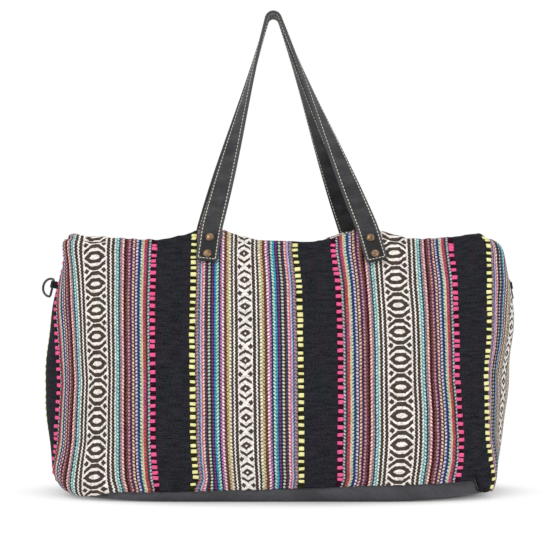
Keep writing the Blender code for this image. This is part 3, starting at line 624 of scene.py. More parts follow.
HEXAGON_STRIPES = (
    Stripe(0.0, CREAM, "#e8dccf", 0.25),
    Stripe(11.3, BROWN, "#584c44", 0.30),
    Stripe(18.5, "#fafbf0", "#5a7a70", 0.24, Lie.OFFSET),
    Stripe(19.9, "#8ec0b6", "#2f6d74", 0.42, Lie.LEFT),
    Stripe(21.1, "#2f8496", "#d4f6f6", 0.56, Lie.OFFSET),
    Stripe(22.7, "#1f5468", "#0f2e3e", 0.42),
    Stripe(24.0, "#845c66", "#b09c9a", 0.42, Lie.RIGHT),
    Stripe(26.1, "#b85058", "#ffe4da", 0.60, Lie.OFFSET),
    Stripe(28.0, "#36101c", "#54242e", 0.40),
    Stripe(30.2, "#401a20", "#8c6258", 0.40, Lie.RIGHT),
    Stripe(32.3, "#6a2c44", "#e0a4ac", 0.50),
    Stripe(34.2, "#241a34", "#5c4468", 0.44, Lie.RIGHT),
    Stripe(36.4, "#5a2a30", "#fbd2b4", 0.56, Lie.OFFSET),
    Stripe(38.7, "#221016", "#40222a", 0.40),
    Stripe(39.8, "#262a58", "#ecdcf2", 0.54),
    Stripe(41.9, "#2e5484", "#1c2448", 0.44, Lie.LEFT),
    Stripe(44.5, "#dce8cc", "#3c6a58", 0.36),
    Stripe(46.2, "#f0c8ae", "#b0aa88", 0.36, Lie.LEFT),
    Stripe(47.7, "#c84a60", "#8a3046", 0.38),
    Stripe(50.4, "#3a2c34", "#544c50", 0.40),
    Stripe(52.6, "#c2d0d2", "#40484a", 0.40, Lie.OFFSET),
    # Painted shade: the pink dash yarn where it dips between dashes, painted dark crimson as if
    # shaded.
    Stripe(54.2, "#420c24", "#160e12", 0.40),
    Stripe(60.2, BLACK, BLACK),
)

DIAMOND_STRIPES = (
    Stripe(0.0, CREAM, "#e8dccf", 0.25),
    Stripe(7.3, BROWN, "#584c44", 0.30),
    Stripe(12.6, "#40323a", "#5c4c50", 0.40),
    Stripe(14.1, "#fdf8da", "#6a6040", 0.32, Lie.OFFSET),
    Stripe(16.3, "#dccc8c", "#6e5e34", 0.42, Lie.LEFT),
    Stripe(18.6, "#50242a", "#84504c", 0.42, Lie.RIGHT),
    Stripe(21.3, "#943c64", "#fff6f4", 0.60),
    Stripe(23.4, "#6e1c5c", "#d084bc", 0.50, Lie.OFFSET),
    Stripe(25.4, "#22466a", "#182848", 0.40),
    Stripe(27.0, "#2c8c90", "#d4f2cc", 0.54, Lie.LEFT),
    Stripe(29.2, "#3cacca", "#14688e", 0.40, Lie.RIGHT),
    Stripe(31.2, "#22245a", "#1a1a3c", 0.40),
    Stripe(32.0, "#8a4488", "#362450", 0.40),
    Stripe(33.8, "#231e2e", "#383a46", 0.40, Lie.OFFSET),
    Stripe(35.7, "#1e2c26", "#d4ecd0", 0.52, Lie.OFFSET),
    Stripe(37.6, "#782030", "#30161c", 0.44),
    Stripe(39.3, "#3e4e6a", "#26323a", 0.44, Lie.RIGHT),
    Stripe(41.2, "#c04c60", "#ffdcd0", 0.60, Lie.OFFSET),
    Stripe(43.0, "#cc6c76", "#96404e", 0.34),
    Stripe(44.1, "#a494c6", "#dcd2ec", 0.42),
    Stripe(45.7, "#1e3260", "#6894a0", 0.40, Lie.OFFSET),
    Stripe(47.3, "#c09cac", "#7c4444", 0.44, Lie.LEFT),
    Stripe(48.9, "#9c8c9a", "#544850", 0.46),
    # Painted shade: the yellow dash yarn where it dips between dashes, painted dark olive as if
    # shaded.
    Stripe(50.2, "#36360f", "#14130f", 0.40),
    Stripe(56.3, BLACK, BLACK),
)


@dataclass(frozen=True)
class StripedWeave(Finish):
    """Hand-loomed warp stripes, mirrored about two patterned bands a half period apart.

    The distance a from the nearest band's middle is the ping-pong of u over half a period, so
    one list of stripes serves both sides. The second colour of a stripe shows where the
    triangle wave of v over a pick, moved on by the stripe's lie, is under its share.
    """

    relief: float = 0.00042
    marks: str = "#4e433b"
    links: str = "#fbf4ef"
    naps: tuple[str, str] = ("#23292c", "#2c262e")
    black_start: tuple[float, float] = (60.2, 56.3)
    figured_half: tuple[float, float] = (11.2, 7.2)
    links_middle: tuple[float, float] = (15.1, 11.2)

    @staticmethod
    def figures(x: Signal, y: Signal, diamond: bool) -> Signal:
        """The dark figures of a band, in yarns from its middle (x) and its motif's middle (y).

        A hexagon is a flat-topped ring round a bare oval, with a second ring outside it. A
        diamond is a lozenge round a dot, with a chevron outside it. Both have a lozenge at
        each side, half way between motifs.

        Args:
            x: Distance from the band's middle.
            y: Distance from the motif's middle.
            diamond: Whether the diamond band is meant.

        Returns:
            1 on a figure.
        """
        half = MOTIF_PITCH / YARN / 2
        if diamond:
            lozenge = (x / 5.9 + y / 4.3) < 1.0
            dot = (x + y) < 1.3
            chevron = (abs(y - (9.6 - x * 0.66)) < 1.45) & (x < 6.4)
            sides = (abs(x - 5.0) / 2.7 + abs(y - half) / 3.0) < 1.0
            return ((lozenge & (1.0 - dot)) | chevron) | sides
        ring = (y < 6.0) & ((10.5 - x) * 0.98 > y)
        oval = ((x / 4.8).power(2.0) + (y / 2.5).power(2.0)) < 1.0
        knee = x - 3.4
        outer = (abs(y - (11.3 - knee * (knee > 0.0) * 0.86)) < 2.1) & (x < 10.2)
        sides = (abs(x - 8.4) / 2.7 + abs(y - half) / 3.1) < 1.0
        return ((ring & (1.0 - oval)) | outer) | sides

    @staticmethod
    def listed(bench: Bench, lookup: Signal, is_far: Signal, read: Any) -> bpy.types.NodeSocket:
        """One thing read from the stripe lists.

        Args:
            bench: The bench.
            lookup: Distance from the nearest band's middle as a share of a quarter period.
            is_far: 1 where the diamond band is the nearest.
            read: Gives four numbers of a stripe.

        Returns:
            The four numbers as a colour.
        """
        ramps = [bench.ramp(lookup, [(s.start / REACH, read(s)) for s in stripes])
                 for stripes in (HEXAGON_STRIPES, DIAMOND_STRIPES)]
        return bench.mix(is_far, *ramps)

    def paint(self, bench: Bench) -> None:
        """Puts the striped weave's nodes on the bench: stripes, figures, dye, black nap, relief,
        painted shade.

        Args:
            bench: The bench of the finish's material.
        """
        u, v = bench.uv()
        fray = bench.noise((u, v), 420.0, 1.0) - 0.5
        near = (u - BAND_PLACE).zigzag(PERIOD / 2) / YARN
        is_far = near > REACH
        a = near + is_far * (2 * REACH - near - near)
        pick = v / PICK
        beat = pick.zigzag(0.5) * 4.0 - 1.0
        edge = a + fray * 0.8 + beat * 0.34
        lookup = (edge | 0.0) / REACH

        ground, second, fleck = (
            self.listed(bench, lookup, is_far, read)
            for read in (lambda s: colour(s.ground), lambda s: colour(s.fleck),
                         lambda s: (s.share, *s.lie.value, 1.0)))
        share, climb, start = bench.axes(fleck)
        wander = bench.noise((u * 0.6, v * 0.5), 160.0, 1.0)
        phase = (pick + a * (climb - 0.5) + start + wander * 0.5).zigzag(0.5) * 2.0
        stripes = bench.mix((phase < share + fray * 0.3) * 0.74 + 0.13, ground, second)

        x = a + fray * 0.7 + beat * 0.30
        hexagons, diamonds = (
            self.figures(x, (v - middle).zigzag(MOTIF_PITCH / 2) / YARN + fray * 0.9, diamond)
            & (a < self.figured_half[diamond])
            for middle, diamond in ((HEXAGON_PLACE, False), (DIAMOND_PLACE, True)))
        figured = bench.mix(hexagons + is_far * (diamonds - hexagons), stripes, self.marks)
        links = abs(a + beat * 0.55 - lerp(*self.links_middle, is_far)) < 0.70
        figured = bench.mix(links, figured, self.links)

        thread = (u / (YARN * 1.5)).floor()
        cell = bench.chance(bench.vector(thread, (pick * 2.0 + thread * 0.5).floor()))
        shift = bench.noise((thread * 0.37, v * 20.0), 1.0, 1.0)
        tone = bench.noise((thread * 0.61, v * 26.0), 1.0, 2.0)
        dyed = bench.node("ShaderNodeHueSaturation", {},
                          {"Hue": (shift - 0.5) * 0.17 + 0.5, "Saturation": 0.96,
                           "Value": (tone - 0.5) * 0.45 + (cell - 0.5) * 0.34 + 1.0,
                           "Color": figured}).outputs[0]

        plain = edge > lerp(*self.black_start, is_far)
        lint = bench.noise((u * 0.8, v * 1.5), 620.0, 2.0)
        slub = bench.noise((u * 0.25, v), 260.0, 2.0)
        fuzz = (lint - 0.5) * 3.4 + (slub - 0.5) * 1.6 + 1.0
        nap = bench.mix((shift * 0.5 + tone * 0.5).stretch(0.35, 0.65), *self.naps)
        cloth = bench.mix(plain, dyed, bench.shade(nap, fuzz | 0.15))

        weft = (pick * 2.0).wave()
        body = (u / YARN).wave() * (weft * 0.5 + 0.5) + cell * 0.3
        height = body + plain * (weft * (lint * 0.8 + 0.6) + slub - body)
        # Painted shade: the colour is darker in the gaps between yarns and picks, following the yarn
        # relief (body).
        bench.surface({"Specular IOR Level": 0.06, "Roughness": 0.92},
                      Base_Color=bench.shade(cloth, body * 0.26 + 0.80),
                      Normal=bench.bump(height, self.relief, 0.8))


@dataclass(frozen=True)
class YarnPad(Finish):
    """The thick coloured yarn of a dash, its strands lying across the dash."""

    tint: str
    shadow: str

    def paint(self, bench: Bench) -> None:
        """Strands are the sine of the cross position, darkest between them.

        Args:
            bench: The bench of the finish's material.
        """
        place = bench.place()
        fray = bench.noise(place, 700.0, 2.0)
        strand = (bench.uv()[1] * 3.0 + fray * 0.5).wave()
        tint = bench.mix(strand.stretch(0.0, 0.75), self.shadow, self.tint)
        toned = bench.shade(tint, bench.noise(place, 90.0, 1.0) * 0.36 + 0.82)
        bench.surface({"Specular IOR Level": 0.1, "Roughness": 0.88}, Base_Color=toned,
                      Normal=bench.bump(strand + fray, 0.0003, 0.8))


@dataclass(frozen=True)
class PlainWeave(Finish):
    """Plain-woven cloth: warp and weft in turn on top, with slubs and fading."""

    tint: str = "#47474b"
    light: str = "#5c5c61"
    pitch: float = 0.0009
    relief: float = 0.0002

    def paint(self, bench: Bench) -> None:
        """A thread is the sine of its cross position; the upper one alternates as a chessboard.

        Args:
            bench: The bench of the finish's material.
        """
        u, v = bench.uv()
        a, b = u / self.pitch, v / self.pitch
        over = ((a.floor() + b.floor()) * 0.5).fract() * 2.0
        lift = a.wave() * (1.0 - over * 0.45) + b.wave() * (0.55 + over * 0.45)
        slub = bench.noise((u * 0.4, v), 300.0, 2.0)
        faded = bench.noise((u, v), 22.0, 3.0)
        tint = bench.mix((faded * 0.6 + slub * 0.4).stretch(0.3, 0.75), self.tint, self.light)
        # Painted shade: the colour is darker between the threads, where lift is low.
        bench.surface({"Specular IOR Level": 0.2, "Sheen Weight": 0.08, "Roughness": 0.9},
                      Base_Color=bench.shade(tint, lift * 0.22 + 0.70),
                      Normal=bench.bump(lift + slub, self.relief, 0.8))


@dataclass(frozen=True)
class BlackLeather(Finish):
    """Dyed full-grain leather, pebbled, grey with wear and painted sheen, painted shade between
    rivets.
    """

    tint: str = "#202023"
    # Grey of wear and of painted sheen, where the strap would catch the light.
    wear_and_sheen_grey: str = "#434447"
    # The next three: colour and size of the painted shade on each tab between its rivets.
    pressed: str = "#0d0d0f"
    shade_patch_end: float = 0.0345
    press_half: float = 0.0088
    margin: float = 0.0096
    blur: float = 0.0012

    def paint(self, bench: Bench) -> None:
        """Pebbles are Voronoi cells. Wear and painted sheen follow broad noise and the belt's two
        margins.

        The cloth UV gives the place across the belt (u) and the distance from its nearer
        end (v), so the patch of painted shade between the rivets is a plain rectangle in it.

        Args:
            bench: The bench of the finish's material.
        """
        u, v = bench.uv()
        vector = bench.vector(u, v)
        across = abs(u)
        pebble = bench.cells(vector, 1150.0, "SMOOTH_F1")
        crease = bench.cells(vector, 430.0, "DISTANCE_TO_EDGE")
        cloud = bench.noise((u * 0.6, v), 60.0, 4.0, 0.6)
        fibre = bench.noise((u * 0.2, v * 2.0), 420.0, 3.0, 0.6)
        edge = across.stretch(self.margin - self.blur, self.margin + self.blur)
        # Wear and painted sheen: greyer in broad patches and along both margins.
        wear_and_sheen = (cloud * 0.65 + fibre * 0.35 + edge * 0.20).stretch(0.36, 0.74)
        # Painted shade: the tab between its rivets is darkened, as where the strap faces away from
        # the light.
        painted_shade_patch = (across.stretch(self.press_half, self.press_half - self.blur)
                 & v.stretch(self.shade_patch_end, self.shade_patch_end - 0.002)
                 & v.stretch(0.0034, 0.0046))
        tint = bench.mix(painted_shade_patch * 0.92, bench.mix(wear_and_sheen, self.tint, self.wear_and_sheen_grey), self.pressed)
        # Painted shade: the colour is darker in the creases between pebbles (grain, used below).
        grain = (1.0 - pebble) * 0.6 + crease.stretch(0.0, 0.2) * 0.4
        bench.surface({"Specular IOR Level": 0.30},
                      Base_Color=bench.shade(tint, grain * 0.25 + 0.78),
                      Roughness=0.56 - wear_and_sheen * 0.10 + fibre * 0.1,
                      Normal=bench.bump(grain + fibre * 0.5, 0.00018, 0.7))


@dataclass(frozen=True)
class Thread(Finish):
    """Waxed sewing thread: two plies that twist along each stitch."""

    tint: str = "#fbf3df"

    def paint(self, bench: Bench) -> None:
        """The plies are a slanted sine over the stitch's own UV.

        Args:
            bench: The bench of the finish's material.
        """
        u, v = bench.uv()
        ply = (u * 4.0 + v * 1.5).wave()
        # Painted shade: the colour is darker in the grooves between the plies.
        bench.surface({"Specular IOR Level": 0.3, "Roughness": 0.6},
                      Base_Color=bench.shade(self.tint, ply * 0.2 + 0.82),
                      Normal=bench.bump(ply, 0.00012, 0.7))


@dataclass(frozen=True)
class Metal(Finish):
    """Plated metal: a polished tint, clouded by tarnish that settles in broad patches."""

    tint: str
    tarnish: str
    roughness: float

    def paint(self, bench: Bench) -> None:
        """Tarnish is two scales of noise; it also takes the shine off.

        Args:
            bench: The bench of the finish's material.
        """
        place = bench.place()
        scuff = bench.noise(place, 1800.0, 2.0, 0.7)
        worn = (bench.noise(place, 320.0, 4.0, 0.6) * 0.7 + scuff * 0.3).stretch(0.38, 0.66)
        bench.surface({}, Base_Color=bench.mix(worn, self.tarnish, self.tint),
                      Metallic=0.9 + worn * 0.1,
                      Roughness=self.roughness + 0.22 - worn * 0.22,
                      Normal=bench.bump(scuff, 0.00006, 0.5))


@dataclass(frozen=True)
class Nylon(Finish):
    """Smooth dark nylon, as in a zip's coils."""

    tint: str = "#1d1d1f"

    def paint(self, bench: Bench) -> None:
        """Broad noise varies the shine.

        Args:
            bench: The bench of the finish's material.
        """
        cloud = bench.noise(bench.place(), 500.0, 2.0)
        bench.surface({"Specular IOR Level": 0.5},
                      Base_Color=bench.shade(self.tint, cloud * 0.4 + 0.8),
                      Roughness=cloud * 0.2 + 0.3)


class Finishes(Enum):
    """The bag's finishes by the maker's names."""

    WEAVE = StripedWeave("hand_loomed_stripes")
    PINK_YARN = YarnPad("pink_dash_yarn", "#fb6ca0", "#c23a70")
    YELLOW_YARN = YarnPad("yellow_dash_yarn", "#fffcba", "#d2c874")
    CANVAS = PlainWeave("charcoal_base_canvas")
    LINING = PlainWeave("dark_lining_cotton", "#2c2c30", "#38383d", 0.0007, 0.0001)
    WEBBING = PlainWeave("black_webbing", "#1c1c1e", "#2c2c2f", 0.0011, 0.0003)
    ZIP_TAPE = PlainWeave("black_zip_tape", "#151516", "#222224", 0.0006, 0.0001)
    LEATHER = BlackLeather("black_strap_leather")
    THREAD = Thread("cream_thread")
    BRASS = Metal("antique_brass_plate", "#a08468", "#665040", 0.36)
    GUNMETAL = Metal("gunmetal_plate", "#6a6662", "#3c3936", 0.28)
    NYLON = Nylon("black_nylon")


# --------------------------------------------------------------------------- the bag's form
@dataclass(frozen=True)
class BagForm:
    """The outside of the filled bag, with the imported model's sizes.

    A ring at a height is a superellipse: each of x and y is the signed power 2 / n of a cosine
    or sine, times a half size. Half sizes blend from base to top and swell in between as the
    height of a half circle.
    """

    height: float = 0.304
    base_left: float = 0.232
    base_right: float = 0.247
    top_left: float = 0.231
    top_right: float = 0.229
    bulge_left: float = 0.038
    bulge_right: float = 0.033
    skew_left: float = -0.2
    skew_right: float = 0.75
    base_depth: float = 0.098
    top_depth: float = 0.096
    face_bulge: float = 0.024
    shoulder: float = 0.007
    belly_power: float = 5.4
    edge_power: float = 8.0
    sag: float = 0.009
    lift: float = 0.015
    lift_reach: float = 0.036
    front_roots: tuple[float, float] = (-0.0765, 0.1010)
    back_roots: tuple[float, float] = (-0.0905, 0.0890)
    canvas_left: float = 0.009
    canvas_right: float = 0.019
    end_lift: tuple[float, float] = (0.0055, 0.0095)
    seam_share: float = 0.04
    seam_gap: float = 0.0003
    slot_level: float = 0.2927
    slot_length: float = 0.188
    slot_width: float = 0.007
    hem_length: float = 0.197
    hem_width: float = 0.018
    weave: float = 0.0020
    ear_left: float = 0.0125
    ear_right: float = 0.0100
    ear_rise: float = 0.0025
    ear_from: tuple[float, float] = (0.185, 0.040)
    ear_left_at: tuple[float, float] = (0.300, 0.018)
    ear_right_at: tuple[float, float] = (0.296, 0.022)
    ear_rise_at: tuple[float, float] = (0.304, 0.020)
    drape_left: tuple[float, float] = (0.170, 0.062)
    drape_right: tuple[float, float] = (0.221, 0.009)
    least_canvas: float = 0.0008
    rim_from: tuple[float, float] = (0.125, 0.14)
    rim_share: tuple[float, float] = (0.78, 0.22)
    rim_fade: float = 0.03
    even_share: float = 0.72

    @property
    def wall_height(self) -> float:
        """Height of the wall below the shoulder."""
        return self.height - self.shoulder

    @staticmethod
    def ring(angle: Array, left: Any, right: Any, depth: Any, power: Any) -> tuple[Array, Array]:
        """Plan position on a superellipse, 0 at the left end, pi at the right, front first.

        Args:
            angle: Angles round the bag (k,).
            left: Half length to the left.
            right: Half length to the right.
            depth: Half depth.
            power: The superellipse's n.

        Returns:
            x and y.
        """
        c, s = -np.cos(angle), -np.sin(angle)
        x = np.sign(c) * np.abs(c) ** (2 / power)
        y = np.sign(s) * np.abs(s) ** (2 / power)
        return x * np.where(x < 0, left, right), y * depth

    def wall_plan(self, angle: Array, share: Array) -> tuple[Array, Array]:
        """Plan position on the wall at a share of its height.

        Args:
            angle: Angles round the bag (k,).
            share: Share of the wall's height.

        Returns:
            x and y.
        """
        swell = np.sqrt(np.maximum(0.0, 1.0 - (2.0 * share - 1.0) ** 2))
        rise = 2.0 * share - 1.0
        left = (lerp(self.base_left, self.top_left, share)
                + self.bulge_left * swell * (1.0 + self.skew_left * rise))
        right = (lerp(self.base_right, self.top_right, share)
                 + self.bulge_right * swell * (1.0 + self.skew_right * rise))
        depth = lerp(self.base_depth, self.top_depth, share) + self.face_bulge * swell
        return self.ring(angle, left, right, depth, lerp(self.edge_power, self.belly_power, swell))

    def top_drop(self, x: Array, y: Array) -> Array:
        """How far the top edge hangs below its corners, less what each handle lifts.

        Args:
            x: Place along the bag.
            y: Place across the bag.

        Returns:
            The drop in metres.
        """
        half = np.where(x < 0, self.top_left, self.top_right)
        sag = self.sag * (1.0 - np.minimum(1.0, np.abs(x) / half) ** 4)
        lifts = [sum(bell(x, root, self.lift_reach) for root in roots)
                 for roots in (self.front_roots, self.back_roots)]
        return sag - self.lift * np.where(y < 0, *lifts)

    def wall(self, angle: Array, share: Array) -> Array:
        """Points on the wall, whose top follows the hanging edge.

        Args:
            angle: Angles round the bag (k,).
            share: Share of the wall's height.

        Returns:
            Points, the last axis holding x, y, z.
        """
        x, y = self.wall_plan(angle, share)
        z = share * self.wall_height - self.top_drop(x, y) * share**2
        return self.lifted(self.eared(np.stack((x, y, z), -1)))

    def canvas_rise(self, angle: Array) -> Array:
        """Height of the seam between canvas and weave, which climbs to the right.

        At both ends the weave comes down over the canvas, almost to the floor.

        Args:
            angle: Angles round the bag (k,).

        Returns:
            The height at each angle.
        """
        x = self.wall_plan(angle, np.full_like(angle, self.seam_share))[0]
        share = 0.5 + 0.5 * np.sin(np.clip(x / self.top_right, -1.0, 1.0) * math.pi / 2)
        bare = (1.0 - risen(-x, *self.drape_left)) * (1.0 - risen(x, *self.drape_right))
        return lerp(self.canvas_left, self.canvas_right, share) * bare + self.least_canvas

    def lifted(self, points: Array, share: Any = 1.0) -> Array:
        """Points with the base's rim raised off the floor towards its two ends.

        Args:
            points: Points of a wall or of a floor.
            share: How far out from the middle of the base a floor's points are, 1 at its rim.

        Returns:
            The points, raised by a smooth step of x that dies away upwards as a bell curve.
        """
        x, y, z = np.moveaxis(points, -1, 0)
        end = np.where(x < 0, *self.end_lift)
        rise = end * risen(np.abs(x), *self.rim_from) * risen(share, *self.rim_share)
        return np.stack((x, y, z + rise * bell(z, 0.0, self.rim_fade)), -1)

    def top(self, angle: Array, left: Any, right: Any, depth: Any, settle: Any, sink: Any) -> Array:
        """Points on the shoulder or the top, settled from the hanging edge to the zip's level.

        Args:
            angle: Angles round the bag (k,).
            left: Half length to the left.
            right: Half length to the right.
            depth: Half depth.
            settle: 0 at the hanging edge, 1 at the zip's level.
            sink: How far below that the points are.

        Returns:
            Points (rows, k, 3).
        """
        x, y = self.ring(angle, left, right, depth, self.edge_power)
        edge = self.height - self.top_drop(x, y)
        return self.eared(np.stack((x, y, lerp(edge, self.slot_level, settle) - sink), -1))

    def eared(self, points: Array) -> Array:
        """Points with the ends' top corners pulled out, by a bell curve of the height there.

        Args:
            points: Points of the wall or the top.

        Returns:
            The points, pulled out.
        """
        x, y, z = np.moveaxis(points, -1, 0)
        near = risen(np.abs(x), *self.ear_from)
        left = -self.ear_left * bell(z, *self.ear_left_at)
        right = self.ear_right * bell(z, *self.ear_right_at)
        rise = self.ear_rise * bell(z, *self.ear_rise_at) * smooth(np.abs(y) / 0.09)
        return np.stack((x + near * np.where(x < 0, left, right), y, z + near * rise), -1)

    def columns(self, count: int, start: float) -> Array:
        """Angles over half the bag, spread evenly over its length and closer where it turns.

        Args:
            count: Steps over the half.
            start: The first angle.

        Returns:
            The angles (count + 1,).
        """
        fine = np.linspace(0.0, math.pi, 4001)
        x, y = self.wall_plan(fine, np.full_like(fine, 0.5))
        steps = np.stack((np.diff(x), np.diff(y)), -1)
        length = np.concatenate(([0.0], np.cumsum(np.linalg.norm(steps, axis=1))))
        heading = np.unwrap(np.arctan2(steps[:, 1], steps[:, 0]))
        turned = np.concatenate(([0.0, 0.0], np.cumsum(np.abs(np.diff(heading)))))
        travel = lerp(turned / turned[-1], length / length[-1], self.even_share)
        return start + np.interp(np.linspace(0.0, 1.0, count + 1), travel, fine)

    def all_columns(self, count: int) -> Array:
        """Angles once round the whole bag, the same number over each half."""
        return np.concatenate((self.columns(count, 0.0), self.columns(count, math.pi)[1:-1]))

    def wall_grid(self, angle: Array, rows: int, low: Array | None = None) -> Array:
        """The woven wall from the canvas seam, or another low edge, up to the shoulder.

        Args:
            angle: Angles round the bag (k,).
            rows: Steps up the wall.
            low: Share of the height where it starts, or None for the seam.

        Returns:
            Points (rows + 1, k, 3).
        """
        if low is None:
            low = (self.canvas_rise(angle) + self.seam_gap) / self.wall_height
        rise = np.linspace(0.0, 1.0, rows + 1)[:, None]
        spread = lerp((1 - np.cos(rise * math.pi)) / 2, rise, 0.6)
        return self.wall(np.broadcast_to(angle, (rows + 1, len(angle))), lerp(low, 1.0, spread))

    def top_grid(self, angle: Array, shoulder_rows: int, rows: int, hem_rows: int) -> Array:
        """The shoulder's quarter turn, the slope down to the hem, and the hem to the slot.

        Args:
            angle: Angles round the bag (k,).
            shoulder_rows: Steps round the shoulder.
            rows: Steps down the slope.
            hem_rows: Steps over the hem.

        Returns:
            Points (rows, k, 3), the wall's last row left out.
        """
        tops = (self.top_left, self.top_right, self.top_depth)
        turn = rising(shoulder_rows, math.pi / 2)
        inset = self.shoulder * (1 - np.cos(turn))
        sink = self.shoulder * (1 - np.sin(turn))
        bend = self.top(angle[None], *(size - inset for size in tops), 0.0, sink)
        q = rising(rows)
        ends = (self.hem_length, self.hem_length, self.hem_width)
        slope = self.top(angle[None], *(lerp(size - self.shoulder, end, q)
                                        for size, end in zip(tops, ends)), smooth(q), 0.0)
        q = rising(hem_rows)
        half = lerp(self.hem_length, self.slot_length, q)
        hem = self.top(angle[None], half, half, lerp(self.hem_width, self.slot_width, q), 1.0, 0.0)
        return np.concatenate((bend, slope, hem))


@dataclass(frozen=True)
class Fold:
    """A soft dent (negative) or swell on the unrolled cloth: a tilted oval of the bell curve."""

    u: float
    v: float
    half_u: float
    half_v: float
    lean: float
    depth: float

    def at(self, u: Array, v: Array) -> Array:
        """Height of the fold at a place on the cloth.

        Args:
            u: Distance round the bag.
            v: Height up the cloth.

        Returns:
            The height, which is negative in a dent.
        """
        c, s = math.cos(math.radians(self.lean)), math.sin(math.radians(self.lean))
        along = (u - self.u) * c + (v - self.v) * s
        up = (v - self.v) * c - (u - self.u) * s
        return self.depth * np.exp(-((along / self.half_u) ** 2) - (up / self.half_v) ** 2)


@dataclass(frozen=True)
class TabSeat:
    """The place of a riveted tab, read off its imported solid: its lower end and its directions."""

    foot: Array
    across: Array
    up: Array
    out: Array
    length: float
    thickness: float

    @classmethod
    def read(cls, node: str, side: int) -> "TabSeat":
        """Finds a tab's directions as the axes of its points, longest first.

        Args:
            node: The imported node's name.
            side: -1 for the front of the bag, 1 for the back.

        Returns:
            The seat.
        """
        mesh = frame["nodes"][node].data
        points = np.empty(len(mesh.vertices) * 3)
        mesh.vertices.foreach_get("co", points)
        points = np.unique(points.reshape(-1, 3).round(7), axis=0)
        middle = points.mean(axis=0)
        _, _, axes = np.linalg.svd(points - middle, full_matrices=False)
        up = axes[0] * np.sign(axes[0][2])
        out = axes[2] * np.sign(axes[2][1]) * side
        across = unit(np.cross(up, out))
        low, high = [], []
        for axis in (up, across, out):
            reach = (points - middle) @ axis
            low.append(reach.min())
            high.append(reach.max())
        foot = (middle + up * low[0] + across * (low[1] + high[1]) / 2
                + out * (low[2] + high[2]) / 2)
        return cls(foot, across, up, out, high[0] - low[0], high[2] - low[2])


